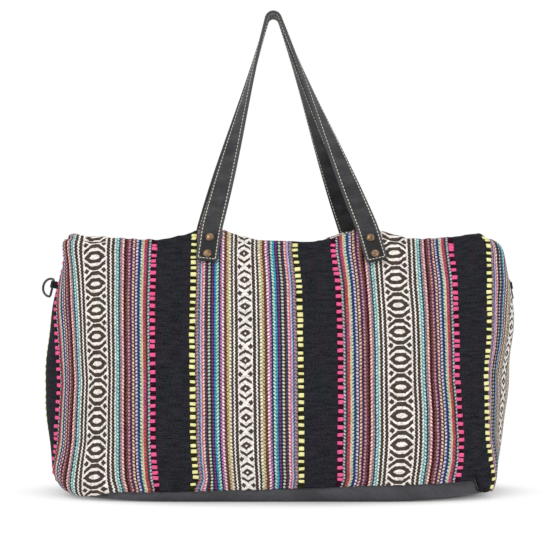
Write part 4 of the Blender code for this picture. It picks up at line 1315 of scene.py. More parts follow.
@dataclass
class WovenShell:
    """The two woven halves of the bag, from the canvas seam over the top to the zip."""

    form: BagForm
    seats: Sequence[TabSeat]
    columns: int = 270
    wall_rows: int = 104
    shoulder_rows: int = 5
    top_rows: int = 26
    hem_rows: int = 4
    seam_half_width: float = 0.0045
    seam_depth: float = 0.0016
    sway_at: tuple[float, ...] = (
        -0.345, -0.275, -0.250, -0.237, -0.222, -0.205, -0.185, -0.142, -0.098, -0.070, -0.037,
        0.025, 0.069, 0.120, 0.150, 0.165, 0.185, 0.200, 0.220, 0.237, 0.244, 0.250, 0.256, 0.264,
        0.275, 0.345)
    sway_levels: tuple[float, ...] = (
        0.006, 0.015, 0.028, 0.048, 0.075, 0.105, 0.140, 0.175, 0.215, 0.250, 0.290)
    sway_mm: tuple[tuple[float, ...], ...] = (
        (-8.0, 1.4, 6.7, 5.6, 4.8, 3.2, -3.7, -5.1, 3.4, -2.8, -2.4, 0.8, 5.3, 3.0, -0.8, -0.8,
         -0.5, -0.5, 4.0, 14.0, 12.0, 10.0, 10.0, 10.0, 10.0, 24.0),
        (-8.0, 1.4, 6.7, 5.6, 4.8, 3.2, -3.7, -5.1, 3.4, -2.8, -2.4, 0.8, 5.3, 3.0, -0.8, -0.8,
         -0.5, -0.5, -3.0, -2.5, -5.0, -5.0, -4.0, 0.0, 6.0, 24.0),
        (-8.0, -0.1, 5.2, 4.1, 3.3, 1.7, -0.8, -2.9, -3.5, -2.0, -1.2, -1.3, 1.0, 1.8, -1.4, -2.2,
         -2.4, -2.3, -0.6, -7.3, -9.0, -8.0, -7.0, -4.0, 0.0, 24.0),
        (-8.0, -3.1, 0.7, -0.0, 0.7, 0.5, -0.3, -1.7, -1.1, -0.8, 0.2, -0.7, 1.5, 0.7, -3.3, -4.7,
         -5.9, -6.1, -3.8, 1.7, -0.2, 0.4, 4.0, 10.0, 16.0, 24.0),
        (-8.0, -15.5, -10.2, -4.1, -3.6, -1.5, -1.0, -0.5, -0.0, 0.5, 1.0, -0.7, 1.1, -0.5, -4.7,
         -5.5, -7.3, -7.7, -3.3, 2.3, 9.8, 19.2, 33.0, 40.0, 44.0, 24.0),
        (-8.0, -25.2, -16.7, -6.7, -4.5, -2.6, -1.3, -0.9, -0.2, 0.7, 1.1, -0.3, 0.7, -0.1, -4.5,
         -5.4, -6.2, -5.6, 0.6, 6.7, 16.2, 24.7, 38.0, 43.0, 46.0, 24.0),
        (-8.0, -29.7, -17.3, -7.4, -5.3, -3.0, -1.3, -0.8, 0.6, 1.2, 1.9, -0.3, 1.3, 0.2, -2.8,
         -3.4, -2.8, -1.2, 3.3, 9.2, 15.3, 21.5, 33.0, 38.0, 42.0, 24.0),
        (-8.0, -26.7, -11.4, -4.9, -2.9, -1.7, -1.3, 0.1, 1.1, 1.1, 1.7, 0.2, 1.3, 0.5, -2.2, -2.5,
         -1.9, -0.9, 0.0, 6.5, 8.8, 10.8, 17.0, 24.0, 31.0, 24.0),
        (-8.0, -10.4, -5.7, -1.1, 0.1, -0.6, -0.7, 0.5, 1.0, 1.4, 2.1, 1.2, 2.2, 1.8, -1.3, -1.4,
         -0.2, 0.2, 0.1, 4.6, 6.6, 8.8, 13.0, 19.0, 23.0, 24.0),
        (-8.0, -2.7, -0.4, 1.5, 2.0, 1.5, -0.1, -0.0, -0.2, 1.5, 2.8, 2.1, 3.7, 4.3, 1.6, 0.7, 0.8,
         1.3, 4.7, 4.7, 5.2, 6.3, 7.0, 10.0, 12.0, 24.0),
        (-8.0, 8.0, 7.5, 6.5, 3.6, 2.0, 0.5, -0.6, -0.4, 1.0, 3.8, 6.6, 9.4, 6.0, 1.5, 2.0, 4.5,
         4.3, 7.0, 5.0, 6.5, 8.0, 8.0, 8.0, 6.0, 24.0))
    drop_at: tuple[float, ...] = (-0.205, -0.037, 0.135)
    drop_mm: tuple[float, ...] = (-0.2, -0.8, 4.6)
    hang_mm: float = 3.2
    hang_at: tuple[float, float] = (0.160, 0.075)
    eased: tuple[float, float] = (0.272, 0.066)
    eased_below: float = 0.31
    wave_seed: int = 7
    waves: int = 12
    wave_size: tuple[float, float] = (0.06, 0.20)
    wave_depth: float = 0.00036
    top_puckers: tuple[float, float] = (0.305, 0.030)
    low_puckers: tuple[float, float] = (0.012, 0.018)
    pucker_depths: tuple[float, float, float] = (0.00065, 0.0005, 0.0003)
    tab_clear: float = 0.0005
    press_half: float = 0.024
    press_above: float = 0.014
    press_reach: float = 0.02
    back_start: float = 0.722
    back_share: float = -0.25
    folds: tuple[Fold, ...] = (
        Fold(0.2285, 0.021, 0.014, 0.0032, -58.0, -0.0060),
        Fold(0.222, 0.046, 0.030, 0.016, 24.0, 0.0015),
        Fold(-0.235, 0.055, 0.022, 0.05, 12.0, 0.0025),
        Fold(-0.215, 0.235, 0.020, 0.06, -14.0, -0.0025),
        Fold(0.215, 0.240, 0.022, 0.05, 14.0, -0.0025),
        Fold(0.276, 0.150, 0.034, 0.062, 0.0, -0.0036),
        Fold(0.262, 0.024, 0.020, 0.018, 0.0, 0.0022),
        Fold(-0.270, 0.030, 0.024, 0.022, 0.0, 0.0036),
        Fold(0.012, 0.272, 0.055, 0.020, 0.0, -0.0025),
        Fold(0.165, 0.276, 0.030, 0.018, 0.0, -0.0022),
        Fold(-0.155, 0.270, 0.034, 0.020, 0.0, -0.0018),
        Fold(-0.060, 0.150, 0.050, 0.090, 4.0, -0.0014),
        Fold(0.090, 0.120, 0.040, 0.080, -6.0, 0.0016),
        Fold(-0.150, 0.110, 0.035, 0.080, 3.0, 0.0013),
        Fold(0.180, 0.110, 0.030, 0.070, 0.0, -0.0012),
    )

    def relief(self, u: Array, v: Array, seam: Array) -> Array:
        """Height of the cloth over the plain form.

        Broad waves are a sum of sines in seeded directions. Short puckers run down from the
        top edge and up from the canvas seam, fading within a few centimetres. The end seam
        pulls in.

        Args:
            u: Distance round the bag.
            v: Height up the cloth.
            seam: Distance from the end seam.

        Returns:
            The height.
        """
        source = np.random.default_rng(self.wave_seed)
        height = sum(fold.at(u, v) for fold in self.folds)
        for _ in range(self.waves):
            size = source.uniform(*self.wave_size)
            heading = source.uniform(0.0, math.pi)
            wave = (u * math.cos(heading) + v * math.sin(heading)) / size * math.tau
            height = height + self.wave_depth * np.sin(wave + source.uniform(0.0, math.tau))
        top, low = bell(v, *self.top_puckers), bell(v, *self.low_puckers)
        at_top, at_low, finer = self.pucker_depths
        pucker = np.sin(u / 0.021 * math.tau + 2.0 * np.sin(u / 0.083 * math.tau))
        fine = np.sin(u / 0.0134 * math.tau + 1.4 * np.sin(u / 0.051 * math.tau))
        height = height + pucker * (at_top * top + at_low * low) + fine * finer * (top + low)
        return height - self.seam_depth * bell(seam, 0.0, self.seam_half_width)

    def pressed(self, points: Array) -> Array:
        """Cloth pushed in so that it stays under each riveted tab.

        Args:
            points: The outer face.

        Returns:
            The pressed face.
        """
        for seat in self.seats:
            away = points - seat.foot
            out = away @ seat.out + seat.thickness / 2 + self.tab_clear
            across = np.abs(away @ seat.across)
            up = away @ seat.up
            inside = (smooth((self.press_half - across) / 0.010) * risen(up, -0.012, 0.012)
                      * smooth((seat.length + self.press_above - up) / 0.012))
            near = np.abs(out) < self.press_reach
            points = points - (np.maximum(out, 0.0) * inside * near)[..., None] * seat.out
        return points

    def cloth(self, side: int) -> tuple[Array, Array, Array, int]:
        """The outer face of one half, its normals and its UV.

        Args:
            side: -1 for the front, 1 for the back.

        Returns:
            Points (rows, columns, 3), normals, UV (rows, columns, 2) and the number of the row
            where the wall ends and the top begins.
        """
        form = self.form
        angle = form.columns(self.columns, 0.0 if side < 0 else math.pi)
        walls = form.wall_grid(angle, self.wall_rows)
        plain = np.concatenate((walls, form.top_grid(angle, self.shoulder_rows, self.top_rows,
                                                     self.hem_rows)))
        edge = self.wall_rows + self.shoulder_rows
        across = run_length(plain * (1.0, 1.0, 0.0), axis=1)
        middle = np.array([np.interp(0.0, -side * row[:, 0], run)
                           for row, run in zip(plain, across)])
        u = across - middle[:, None]
        v = plain[0, :, 2] + run_length(plain, axis=0)
        seam = np.minimum(across, across[:, -1:] - across)
        normals = self.normals(plain)
        far, share = (0.0, 1.0) if side < 0 else (self.back_start, self.back_share)
        points = plain + normals * self.relief(u + far, v, seam)[..., None]
        points = self.pressed(points)
        points[..., 1] += side * form.seam_gap / 2
        ends = np.where(u < 0, u[:, :1], u[:, -1:])
        usual = np.where(u < 0, u[:edge, 0].mean(), u[:edge, -1].mean())
        ease = risen(np.abs(u), *self.eased) * smooth((self.eased_below - v) / 0.03)
        uv = np.stack(self.swayed(u - (ends - usual) * ease, v, share), -1) + (far, 0.0)
        return points, self.normals(points), uv, edge

    @staticmethod
    def normals(points: Array) -> Array:
        """Outward normals: the cross product of the steps along and up the grid."""
        return unit(np.cross(np.gradient(points, axis=1), np.gradient(points, axis=0)))

    def swayed(self, u: Array, v: Array, share: float) -> tuple[Array, Array]:
        """The weave's own u and v, drawn aside where the cloth hangs crooked.

        Each level has its shifts of u in millimetres at a row of u, and the levels are joined
        by straight blends in v. The motifs of each band stand at their own height, and hang a
        little lower half way up.

        Args:
            u: Distance round the bag.
            v: Height up the cloth.
            share: How much of the shifts counts.

        Returns:
            The drawn u and v.
        """
        shift = sum(np.interp(u, self.sway_at, row) * np.interp(v, self.sway_levels, level)
                    for row, level in zip(self.sway_mm, np.eye(len(self.sway_levels))))
        drop = np.interp(u, self.drop_at, self.drop_mm) + self.hang_mm * bell(v, *self.hang_at)
        return u + shift * share / 1000.0, v - drop * share / 1000.0

    def top_uv(self, points: Array, uv: Array, edge: int) -> Array:
        """UV on the top, where the stripes run straight from front to back.

        There u follows x, against it on the back, and v goes on from the edge by the
        distance in y.

        Args:
            points: The outer face.
            uv: Its UV.
            edge: The row where the top begins.

        Returns:
            UV of the top's rows.
        """
        form = self.form
        x, y = points[edge:, :, 0], np.abs(points[edge:, :, 1])
        at_edge = uv[edge, :, 1]
        face = smooth(y[0] / form.top_depth)
        level = np.median(at_edge) + form.top_depth
        v = lerp(level - y, at_edge + y[0] - y, face)
        middle = uv[edge, len(x[0]) // 2, 0]
        back = middle > form.top_right * 2
        u = (middle + x[0, len(x[0]) // 2] - x) if back else x
        return np.stack((u, v), -1)

    def half(self, name: str, side: int) -> None:
        """One woven half as a closed shell of cloth.

        Args:
            name: The piece's name.
            side: -1 for the front, 1 for the back.
        """
        points, normals, uv, edge = self.cloth(side)
        inner = points - normals * self.form.weave
        kit = MeshKit()
        top = self.top_uv(points, uv, edge)
        for surface in (points, inner):
            kit.grid(surface[:edge + 1], uv[:edge + 1])
            kit.grid(surface[edge:], top)
        for row, line_uv in ((0, uv[0]), (-1, top[-1])):
            kit.grid(np.stack((points[row], inner[row])), np.stack((line_uv, line_uv)))
        for column in (0, -1):
            line_uv = uv[:, column]
            kit.grid(np.stack((points[:, column], inner[:, column])), np.stack((line_uv, line_uv)))
        made = kit.build(name, Finishes.WEAVE.value)
        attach(made, "bag")
        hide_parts("front_panel" if side < 0 else "back_panel")

    def build(self) -> None:
        """Both halves and their raised dashes."""
        for label, side in SIDES:
            self.half(f"woven_{label}", side)
        DashColumns(self, "pink_dashes", 64.9, False, Finishes.PINK_YARN, 3,
                    (0.0038, 0.0048), (0.22, 0.0054, 0.0066), (0.0080, 0.0100)).build()
        DashColumns(self, "yellow_dashes", 60.6, True, Finishes.YELLOW_YARN, 11,
                    (0.0030, 0.0052), (0.35, 0.0060, 0.0068), (0.0074, 0.0094)).build()


@dataclass
class DashColumns:
    """Columns of thick yarn dashes, floated over the cloth beside the black stripes."""

    shell: WovenShell
    name: str
    offset_mm: float
    from_diamond: bool
    finish: Finishes
    seed: int
    heights: tuple[float, float]
    short: tuple[float, float, float]
    long: tuple[float, float]
    width: float = 0.0064
    rise: float = 0.0013
    most: int = 80
    least_share: float = 0.12
    seam_columns: int = 4
    width_range: tuple[float, float] = (0.92, 1.06)
    rise_range: tuple[float, float] = (0.8, 1.15)
    first_gap: float = 0.0005
    last_gap: float = 0.002
    most_slant: float = 0.10
    stray: float = 0.00022
    float_off: float = 0.0001

    @staticmethod
    def pad() -> MeshKit:
        """A pillow on a unit square: each face lifts as the root of (1 - x^6)(1 - y^4).

        Returns:
            The pillow.
        """
        line = np.array((-1.0, -0.88, 0.0, 0.88, 1.0))
        x, y = np.meshgrid(line, line)
        lift = ((1 - x**6) * (1 - y**4)) ** 0.5
        squeeze = 1.0 - 0.10 * np.abs(x) ** 6
        kit = MeshKit()
        for sign in (1.0, -0.35):
            kit.grid(np.stack((x * 0.5, y * 0.5 * squeeze, lift * sign), -1),
                     np.stack((x, y), -1) * 0.5)
        return kit

    def centres(self) -> list[float]:
        """Each column's u round the whole bag.

        Returns:
            The places, in metres of u.
        """
        first = BAND_PLACE + (PERIOD / 2 if self.from_diamond else 0.0)
        return [first + turn * PERIOD + sign * self.offset_mm / 1000
                for turn in range(-3, 6) for sign in (-1, 1)]

    def track(self, centre: float, *cloth: Array) -> list[Array]:
        """The line of one column up the cloth, read from each row at the column's u.

        Args:
            centre: The column's u.
            *cloth: Grids of the cloth's u, points, normals and v.

        Returns:
            Points, normals and v along the line, or nothing where it crosses too few rows.
        """
        u = cloth[0]
        inside = (u[:, self.seam_columns] < centre) & (centre < u[:, -1 - self.seam_columns])
        if inside.mean() < self.least_share:
            return []
        found = []
        for row in np.flatnonzero(inside):
            at = np.interp(centre, u[row], np.arange(u.shape[1]))
            base, part = int(at), at - int(at)
            found.append([lerp(values[row, base], values[row, base + 1], part)
                          for values in cloth[1:]])
        return [np.array(values) for values in zip(*found)]

    def stand(self, source: np.random.Generator, line: Array, facing: Array,
              height: Array) -> tuple[Array, Array]:
        """Dashes along a line at an irregular pitch, each turned to the cloth's directions.

        Args:
            source: The random numbers.
            line: Points along the line.
            facing: The cloth's normals there.
            height: The cloth's v there.

        Returns:
            The dashes' places (n, 3) and their scaled directions (n, 3, 3).
        """
        pitch = np.where(source.random(self.most) < self.short[0],
                         source.uniform(*self.short[1:], self.most),
                         source.uniform(*self.long, self.most))
        level = height[0] + self.first_gap + np.cumsum(pitch)
        level = level[level < height[-1] - self.last_gap]
        tall = source.uniform(*self.heights, len(level))
        wide = self.width * source.uniform(*self.width_range, len(level))
        rise = self.rise * source.uniform(*self.rise_range, len(level))
        out = unit(resample(facing, height, level))
        tangent = unit(np.cross(UPWARD, out))
        up = np.cross(out, tangent)
        slant = source.uniform(-self.most_slant, self.most_slant, len(level))[:, None]
        shift = source.normal(0.0, self.stray, len(level))[:, None]
        turns = np.stack(((tangent + up * slant) * wide[:, None], up * tall[:, None],
                          out * rise[:, None]), -1)
        return resample(line, height, level) + tangent * shift + out * self.float_off, turns

    def build(self) -> None:
        """All the dashes of one colour as one piece."""
        source = np.random.default_rng(self.seed)
        stood = []
        for side in (-1, 1):
            points, normals, uv, edge = self.shell.cloth(side)
            cloth = [grid[:edge - 1] for grid in (uv[..., 0], points, normals, uv[..., 1])]
            for centre in self.centres():
                found = self.track(centre, *cloth)
                if found:
                    stood.append(self.stand(source, *found))
        kit = MeshKit()
        kit.copies(self.pad(), *(np.concatenate(values) for values in zip(*stood)))
        made = kit.build(self.name, self.finish.value)
        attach(made, "bag")


@dataclass
class CanvasBase:
    """The charcoal canvas base: a flat bottom whose edge turns up behind the weave's lower hem."""

    form: BagForm
    columns: int = 260
    thickness: float = 0.0014
    inset: float = 0.0026
    tuck: float = 0.004
    tuck_length: float = 0.003
    seam: float = 0.002
    floor_shares: tuple[float, ...] = (0.0, 0.35, 0.65, 0.85, 0.94, 0.98)
    rise_shares: tuple[float, ...] = (0.0, 0.06, 0.14, 0.26, 0.42, 0.60, 0.80, 1.0)

    def shell(self, depth: float) -> tuple[Array, Array]:
        """Points and UV of the canvas at a depth under its outer face, from the middle out.

        Args:
            depth: Depth under the outer face.

        Returns:
            Points and UV.
        """
        form = self.form
        angle = form.all_columns(self.columns)
        ring = form.wall(angle, np.zeros_like(angle))
        rise = form.canvas_rise(angle) + self.tuck
        grid = np.array([ring * (share, share, 1.0) for share in self.floor_shares]
                        + [form.wall(angle, share * rise / form.wall_height)
                           for share in self.rise_shares])
        normal = round_normals(grid)
        flat = len(self.floor_shares)
        normal[:flat - 1] = (0.0, 0.0, -1.0)
        lift = self.inset * smooth((grid[..., 2] - form.canvas_rise(angle) + self.tuck_length)
                                     / self.tuck_length)
        lift[:flat] = 0.0
        grid = grid - normal * (depth + lift[..., None])
        grid[:flat, :, 2] = depth
        grid[:flat] = form.lifted(grid[:flat], np.array(self.floor_shares)[:, None])
        uv = round_uv(grid, self.seam)
        uv[:flat] = np.concatenate((grid, grid[:, :1]), axis=1)[:flat, :, :2]
        return grid, uv

    def build(self) -> None:
        """The canvas as a closed tub of cloth."""
        kit = MeshKit()
        kit.tub(self.shell(0.0), self.shell(self.thickness))
        made = kit.build("canvas_base", Finishes.CANVAS.value)
        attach(made, "bag")
        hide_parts("base_panel")


@dataclass
class LiningBag:
    """The dark cotton lining, hung inside the cloth from the zip tapes."""

    form: BagForm
    columns: int = 120
    inset: float = 0.0040
    thickness: float = 0.0008
    dent: float = 0.0045
    dent_from: tuple[float, float] = (0.19, 0.04)
    dent_at: tuple[float, float] = (0.15, 0.10)
    floor_size: float = 0.985
    floor_level: float = 0.0030
    low_share: float = 0.03
    wall_rows: int = 40
    top_rows: tuple[int, int, int] = (3, 12, 2)
    top_sink: float = 0.8
    seam: float = 0.004
    floor_shares: tuple[float, ...] = (0.0, 0.5, 0.8, 0.88, 0.94, 1.0)

    def shell(self, depth: float) -> tuple[Array, Array]:
        """Points and UV of the lining at a depth under the bag's outer face.

        Args:
            depth: Depth under the bag's outer face.

        Returns:
            Points and UV.
        """
        form = self.form
        angle = form.all_columns(self.columns)
        low = np.full_like(angle, self.low_share)
        grid = np.concatenate((form.wall_grid(angle, self.wall_rows, low),
                               form.top_grid(angle, *self.top_rows)[:-1]))
        dent = (self.dent * risen(grid[..., 0], *self.dent_from)
                * bell(grid[..., 2], *self.dent_at))
        grid = grid - round_normals(grid) * (depth + dent[..., None])
        grid[..., 2] = np.minimum(grid[..., 2], form.slot_level - depth * self.top_sink)
        floors = []
        for share in self.floor_shares:
            floor = grid[0] * (share * self.floor_size, share * self.floor_size, 0.0)
            floor[:, 2] = self.floor_level + (depth - self.inset)
            floors.append(form.lifted(floor, share))
        grid = np.concatenate((np.array(floors), grid))
        return grid, round_uv(grid, self.seam)

    def build(self) -> None:
        """The lining as a closed tub."""
        kit = MeshKit()
        kit.tub(self.shell(self.inset), self.shell(self.inset + self.thickness))
        made = kit.build("cotton_lining", Finishes.LINING.value)
        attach(made, "bag")
        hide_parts("lining")


# --------------------------------------------------------------------------- leather handles
@dataclass
class LeatherHandle:
    """One leather handle: a single belt from tab to tab with its stitching and four rivets."""

    label: str
    side: int
    seats: tuple[TabSeat, TabSeat]
    width: float = 0.025
    thickness: float = 0.0035
    edge_radius: float = 0.0011
    end_radius: float = 0.0050
    groove_inset: float = 0.0029
    groove_depth: float = 0.00022
    tab_gap: float = 0.0006
    top: float = 0.569
    apex_x: float = -0.006
    apex_radius: float = 0.0065
    apex_spacing: float = 0.0008
    lean_ease: float = 1.15
    turn_ease: float = 1.2
    step: float = 0.0022
    bend_below: float = 0.0075
    bend_above: float = 0.0090
    stitch_pitch: float = 0.0042
    stitch_length: float = 0.0031
    stitch_radius: float = 0.00042
    rivet_inset: float = 0.0085
    rivet_spacing: float = 0.0205
    rivet_radius: float = 0.0046
    rivet_lift: float = 0.0004
    tab_step: float = 0.001
    knee_reach: float = 0.008
    knee_rounds: int = 14
    groove_reach: float = 0.0009
    dome: float = 0.00025
    end_share: float = 0.55
    end_taper: float = 0.0012
    end_rows: tuple[float, ...] = (0.0003, 0.0009, 0.0018, 0.0032)
    seam_start: float = 0.0018
    cross_start: float = 0.0022
    cross_stitches: int = 5
    stitch_squash: float = 0.8
    stitch_lift: float = 0.0001

    def strap_line(self) -> tuple[Array, Array]:
        """The strap's middle line and its directions across.

        Each leg runs straight from its tab to a small arc at the top. Its y eases from the
        tab's to the apex's as a power of what is left of the leg, and the strap turns a
        quarter on the way up, as a power of a sine, so that it stands edge to edge there.

        Returns:
            Points (n, 3) and directions (n, 3).
        """
        feet = [seat.foot + seat.up * (seat.length + self.tab_gap) for seat in self.seats]
        radius = self.apex_radius + self.thickness / 2
        centre = np.array((self.apex_x, self.top - radius - self.thickness / 2))
        apex_y = self.side * (self.width + self.apex_spacing) / 2
        angles, ends = [], []
        for foot, hand in zip(feet, (1, -1)):
            reach = centre - foot[[0, 2]]
            size = np.hypot(*reach)
            lean = math.atan2(hand * reach[0], reach[1]) - math.asin(radius / size)
            angle = math.pi - lean if hand > 0 else lean
            angles.append(angle)
            ends.append(centre + radius * np.array((math.cos(angle), math.sin(angle))))
        rise = np.linspace(0.0, 1.0, 120)[:, None]
        legs, turns = [], []
        for foot, end in zip(feet, ends):
            plan = lerp(foot[[0, 2]], end, rise)
            y = lerp(apex_y, foot[1], (1.0 - rise[:, 0]) ** self.lean_ease)
            legs.append(np.stack((plan[:, 0], y, plan[:, 1]), -1))
            turns.append(np.sin(rise[:, 0] * math.pi / 2) ** self.turn_ease * math.pi / 2)
        sweep = np.linspace(angles[0], angles[1], 26)[1:-1]
        arc = np.stack((centre[0] + radius * np.cos(sweep), np.full_like(sweep, apex_y),
                        centre[1] + radius * np.sin(sweep)), -1)
        line = np.concatenate((legs[0], arc, legs[1][::-1]))
        turn = np.concatenate((turns[0], np.full(len(arc), math.pi / 2), math.pi - turns[1][::-1]))
        across = np.stack((np.cos(turn), self.side * np.sin(turn), np.zeros_like(turn)), -1)
        return line, across

    def belt_line(self) -> tuple[Array, Array, Array]:
        """The whole belt's middle line, directions across and outward, at an even step.

        The two tabs are straight. The knee at the top of each is rounded by averaging each
        point there with its neighbours.

        Returns:
            Points, directions across and directions outward, (n, 3).
        """
        line, across = self.strap_line()
        left, right = self.seats
        rise = np.arange(0.0, left.length - 1e-4, self.tab_step)[:, None]
        line = np.concatenate((left.foot + rise * left.up, line,
                               (right.foot + rise * right.up)[::-1]))
        across = np.concatenate((np.tile(left.across * np.sign(left.across[0]), (len(rise), 1)),
                                 across,
                                 np.tile(-right.across * np.sign(right.across[0]),
                                         (len(rise), 1))))
        run = run_length(line)
        even = np.linspace(0.0, run[-1], int(run[-1] / self.step) + 1)
        line, across = resample(line, run, even), resample(across, run, even)
        for seat, ahead in ((left, even), (right, even[-1] - even)):
            near = bell(ahead, seat.length, self.knee_reach)[1:-1, None]
            for _ in range(self.knee_rounds):
                for values in (line, across):
                    mean = (values[:-2] + values[2:]) / 2
                    values[1:-1] = lerp(values[1:-1], mean, 0.5 * near)
        tangent = unit(np.gradient(line, axis=0))
        across = unit(across - tangent * (across * tangent).sum(-1, keepdims=True))
        return line, across, np.cross(across, tangent)

    def section(self, run: Array) -> Array:
        """The belt's section at each length: a rounded slab with a groove under each seam.

        The slab narrows to its end round a quarter circle, and its faces dip by the bell
        curve of the distance from the stitching.

        Args:
            run: Lengths along the belt (n,).

        Returns:
            Sections (n, k, 2).
        """
        base = round_section(self.width, self.thickness, self.edge_radius, 3)
        face = np.linspace(1.0, -1.0, 25)[1:-1] * (self.width / 2 - self.edge_radius)
        top = np.stack((face, np.full_like(face, self.thickness / 2)), -1)
        outline = np.concatenate((base[:4], top, base[4:12], top[::-1] * (1, -1), base[12:]))
        seam = self.width / 2 - self.groove_inset
        dip = bell(np.abs(outline[:, 0]), seam, self.groove_reach) * self.groove_depth
        dome = self.dome * (1.0 - (outline[:, 0] / (self.width / 2)) ** 2)
        flat = np.abs(outline[:, 1]) > self.thickness / 2 - 1e-5
        outline[:, 1] += np.sign(outline[:, 1]) * flat * (dome - dip)
        end = np.minimum(run, run[-1] - run)
        r = self.end_radius
        gone = np.clip(r - end, 0.0, r)
        half = self.width / 2 - r + np.sqrt(np.maximum(r * r - gone * gone, 1e-10))
        thin = lerp(self.end_share, 1.0, smooth(end / self.end_taper))
        scale = np.stack((half / (self.width / 2), thin), -1)
        return outline[None] * scale[:, None, :]

    def add_belt(self) -> None:
        """The leather of tabs and strap as one piece, rounded at the knee above each tab."""
        belt = self.belt_line()
        run = run_length(belt[0])
        extra = np.array(self.end_rows)
        run_fine = np.unique(np.concatenate((run, extra, run[-1] - extra)))
        line, across, out = (resample(values, run, run_fine) for values in belt)
        section = self.section(run_fine)
        across_uv = np.concatenate((section[..., 0], section[:, :1, 0]), axis=1)
        nearer = np.minimum(run_fine, run_fine[-1] - run_fine)[:, None]
        kit = MeshKit()
        kit.tube(carried(section, line, unit(across), unit(out)),
                 np.stack((across_uv, np.broadcast_to(nearer, across_uv.shape)), -1))
        made = kit.build(f"{self.label}_leather_handle", Finishes.LEATHER.value)
        self.bend(made)
        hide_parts(f"{self.label}_handle_strap", f"{self.label}_handle_tab_left",
                    f"{self.label}_handle_tab_right")

    def bend(self, piece: bpy.types.Object) -> None:
        """Bakes the piece's placement into its points.

        Args:
            piece: The belt or its stitching.
        """
        tops = [seat.foot + seat.up * seat.length for seat in self.seats]
        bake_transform(piece)

    @staticmethod
    def stitch() -> MeshKit:
        """One stitch about the origin: a rod along x, its radius the root of 1 - |x|^3.

        Returns:
            The stitch.
        """
        along = np.linspace(-1.0, 1.0, 7)
        size = np.sqrt(np.maximum(1.0 - np.abs(along) ** 3, 0.02))[:, None]
        a, b = circle(6).T
        rings = np.stack((np.broadcast_to(along[:, None] * 0.5, (7, 6)), size * a, size * b), -1)
        kit = MeshKit()
        kit.tube(rings, np.stack(np.meshgrid(np.linspace(0.0, 1.0, 7), along * 0.5 + 0.5), -1))
        return kit

    def stitch_places(self, total: float) -> tuple[Array, Array, Array]:
        """Where the stitches lie on the unrolled belt: length, offset across, and heading.

        One seam runs up each margin and crosses below each end.

        Args:
            total: The belt's length.

        Returns:
            The three values of each stitch, (n,) each.
        """
        seam = self.width / 2 - self.groove_inset
        count = int((total - 2 * self.groove_inset) / self.stitch_pitch)
        along = np.linspace(self.groove_inset + self.seam_start,
                            total - self.groove_inset - self.seam_start, count)
        cross = np.linspace(-seam + self.cross_start, seam - self.cross_start,
                            self.cross_stitches)
        rows = [(along, seam, 0.0), (along, -seam, 0.0)]
        rows += [(end, cross, math.pi / 2)
                 for end in (self.groove_inset, total - self.groove_inset)]
        return tuple(np.concatenate(values)
                     for values in zip(*(np.broadcast_arrays(*row) for row in rows)))

    def add_stitching(self) -> None:
        """The cream stitches of both faces, laid along the belt's line."""
        belt = self.belt_line()
        run = run_length(belt[0])
        length, offset, heading = self.stitch_places(run[-1])
        middle, side, face = (resample(values, run, length) for values in belt)
        side, face = unit(side), unit(face)
        ahead = np.cross(face, side)
        along = ahead * np.cos(heading)[:, None] + side * np.sin(heading)[:, None]
        cross = np.cross(face, along)
        r = self.stitch_radius
        turns = np.stack((along * self.stitch_length, cross * r, face * r * self.stitch_squash), -1)
        kit = MeshKit()
        for sign in (1, -1):
            places = (middle + side * offset[:, None]
                      + face * sign * (self.thickness / 2 + self.stitch_lift))
            kit.copies(self.stitch(), places, turns)
        made = kit.build(f"{self.label}_handle_stitching", Finishes.THREAD.value)
        self.bend(made)

    def rivet(self) -> MeshKit:
        """A rivet's cap about +Z: a shallow dome over a turned rim, closed underneath.

        Returns:
            The cap.
        """
        r = self.rivet_radius
        turn = np.linspace(0.0, math.pi / 2, 9)
        dome = np.stack((np.sin(turn) * r * 0.86, np.cos(turn) * 0.0016 + 0.0010), -1)
        rim = np.array(((r * 0.90, 0.00092), (r * 0.97, 0.00100), (r, 0.0007), (r, 0.0002),
                        (r * 0.97, 0.0), (r * 0.35, 0.0), (r * 0.30, -0.0030), (0.0, -0.0030)))
        radius, level = np.split(np.concatenate((dome, rim)), 2, axis=1)
        a, b = circle(40).T
        kit = MeshKit()
        kit.grid(np.stack(np.broadcast_arrays(radius * a, radius * b, level), -1), wrap=True)
        return kit

    def add_rivets(self) -> None:
        """Four rivet caps, each standing for its packed one."""
        for seat, hand in zip(self.seats, HANDS):
            for rank, level in enumerate(("lower", "upper")):
                place = (seat.foot + seat.up * (self.rivet_inset + rank * self.rivet_spacing)
                         + seat.out * (seat.thickness / 2 + self.rivet_lift))
                kit = MeshKit()
                kit.copies(self.rivet(), place[None],
                           np.stack((seat.across, seat.up, seat.out), -1)[None])
                made = kit.build(f"brass_rivet_{self.label}_{hand}_{level}",
                                 Finishes.BRASS.value)
                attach(made, "bag")
                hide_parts(f"rivet_cap_{self.label}_{hand}_{level}")

    def build(self) -> None:
        """The belt, its stitching and its rivets."""
        self.add_belt()
        self.add_stitching()
        self.add_rivets()


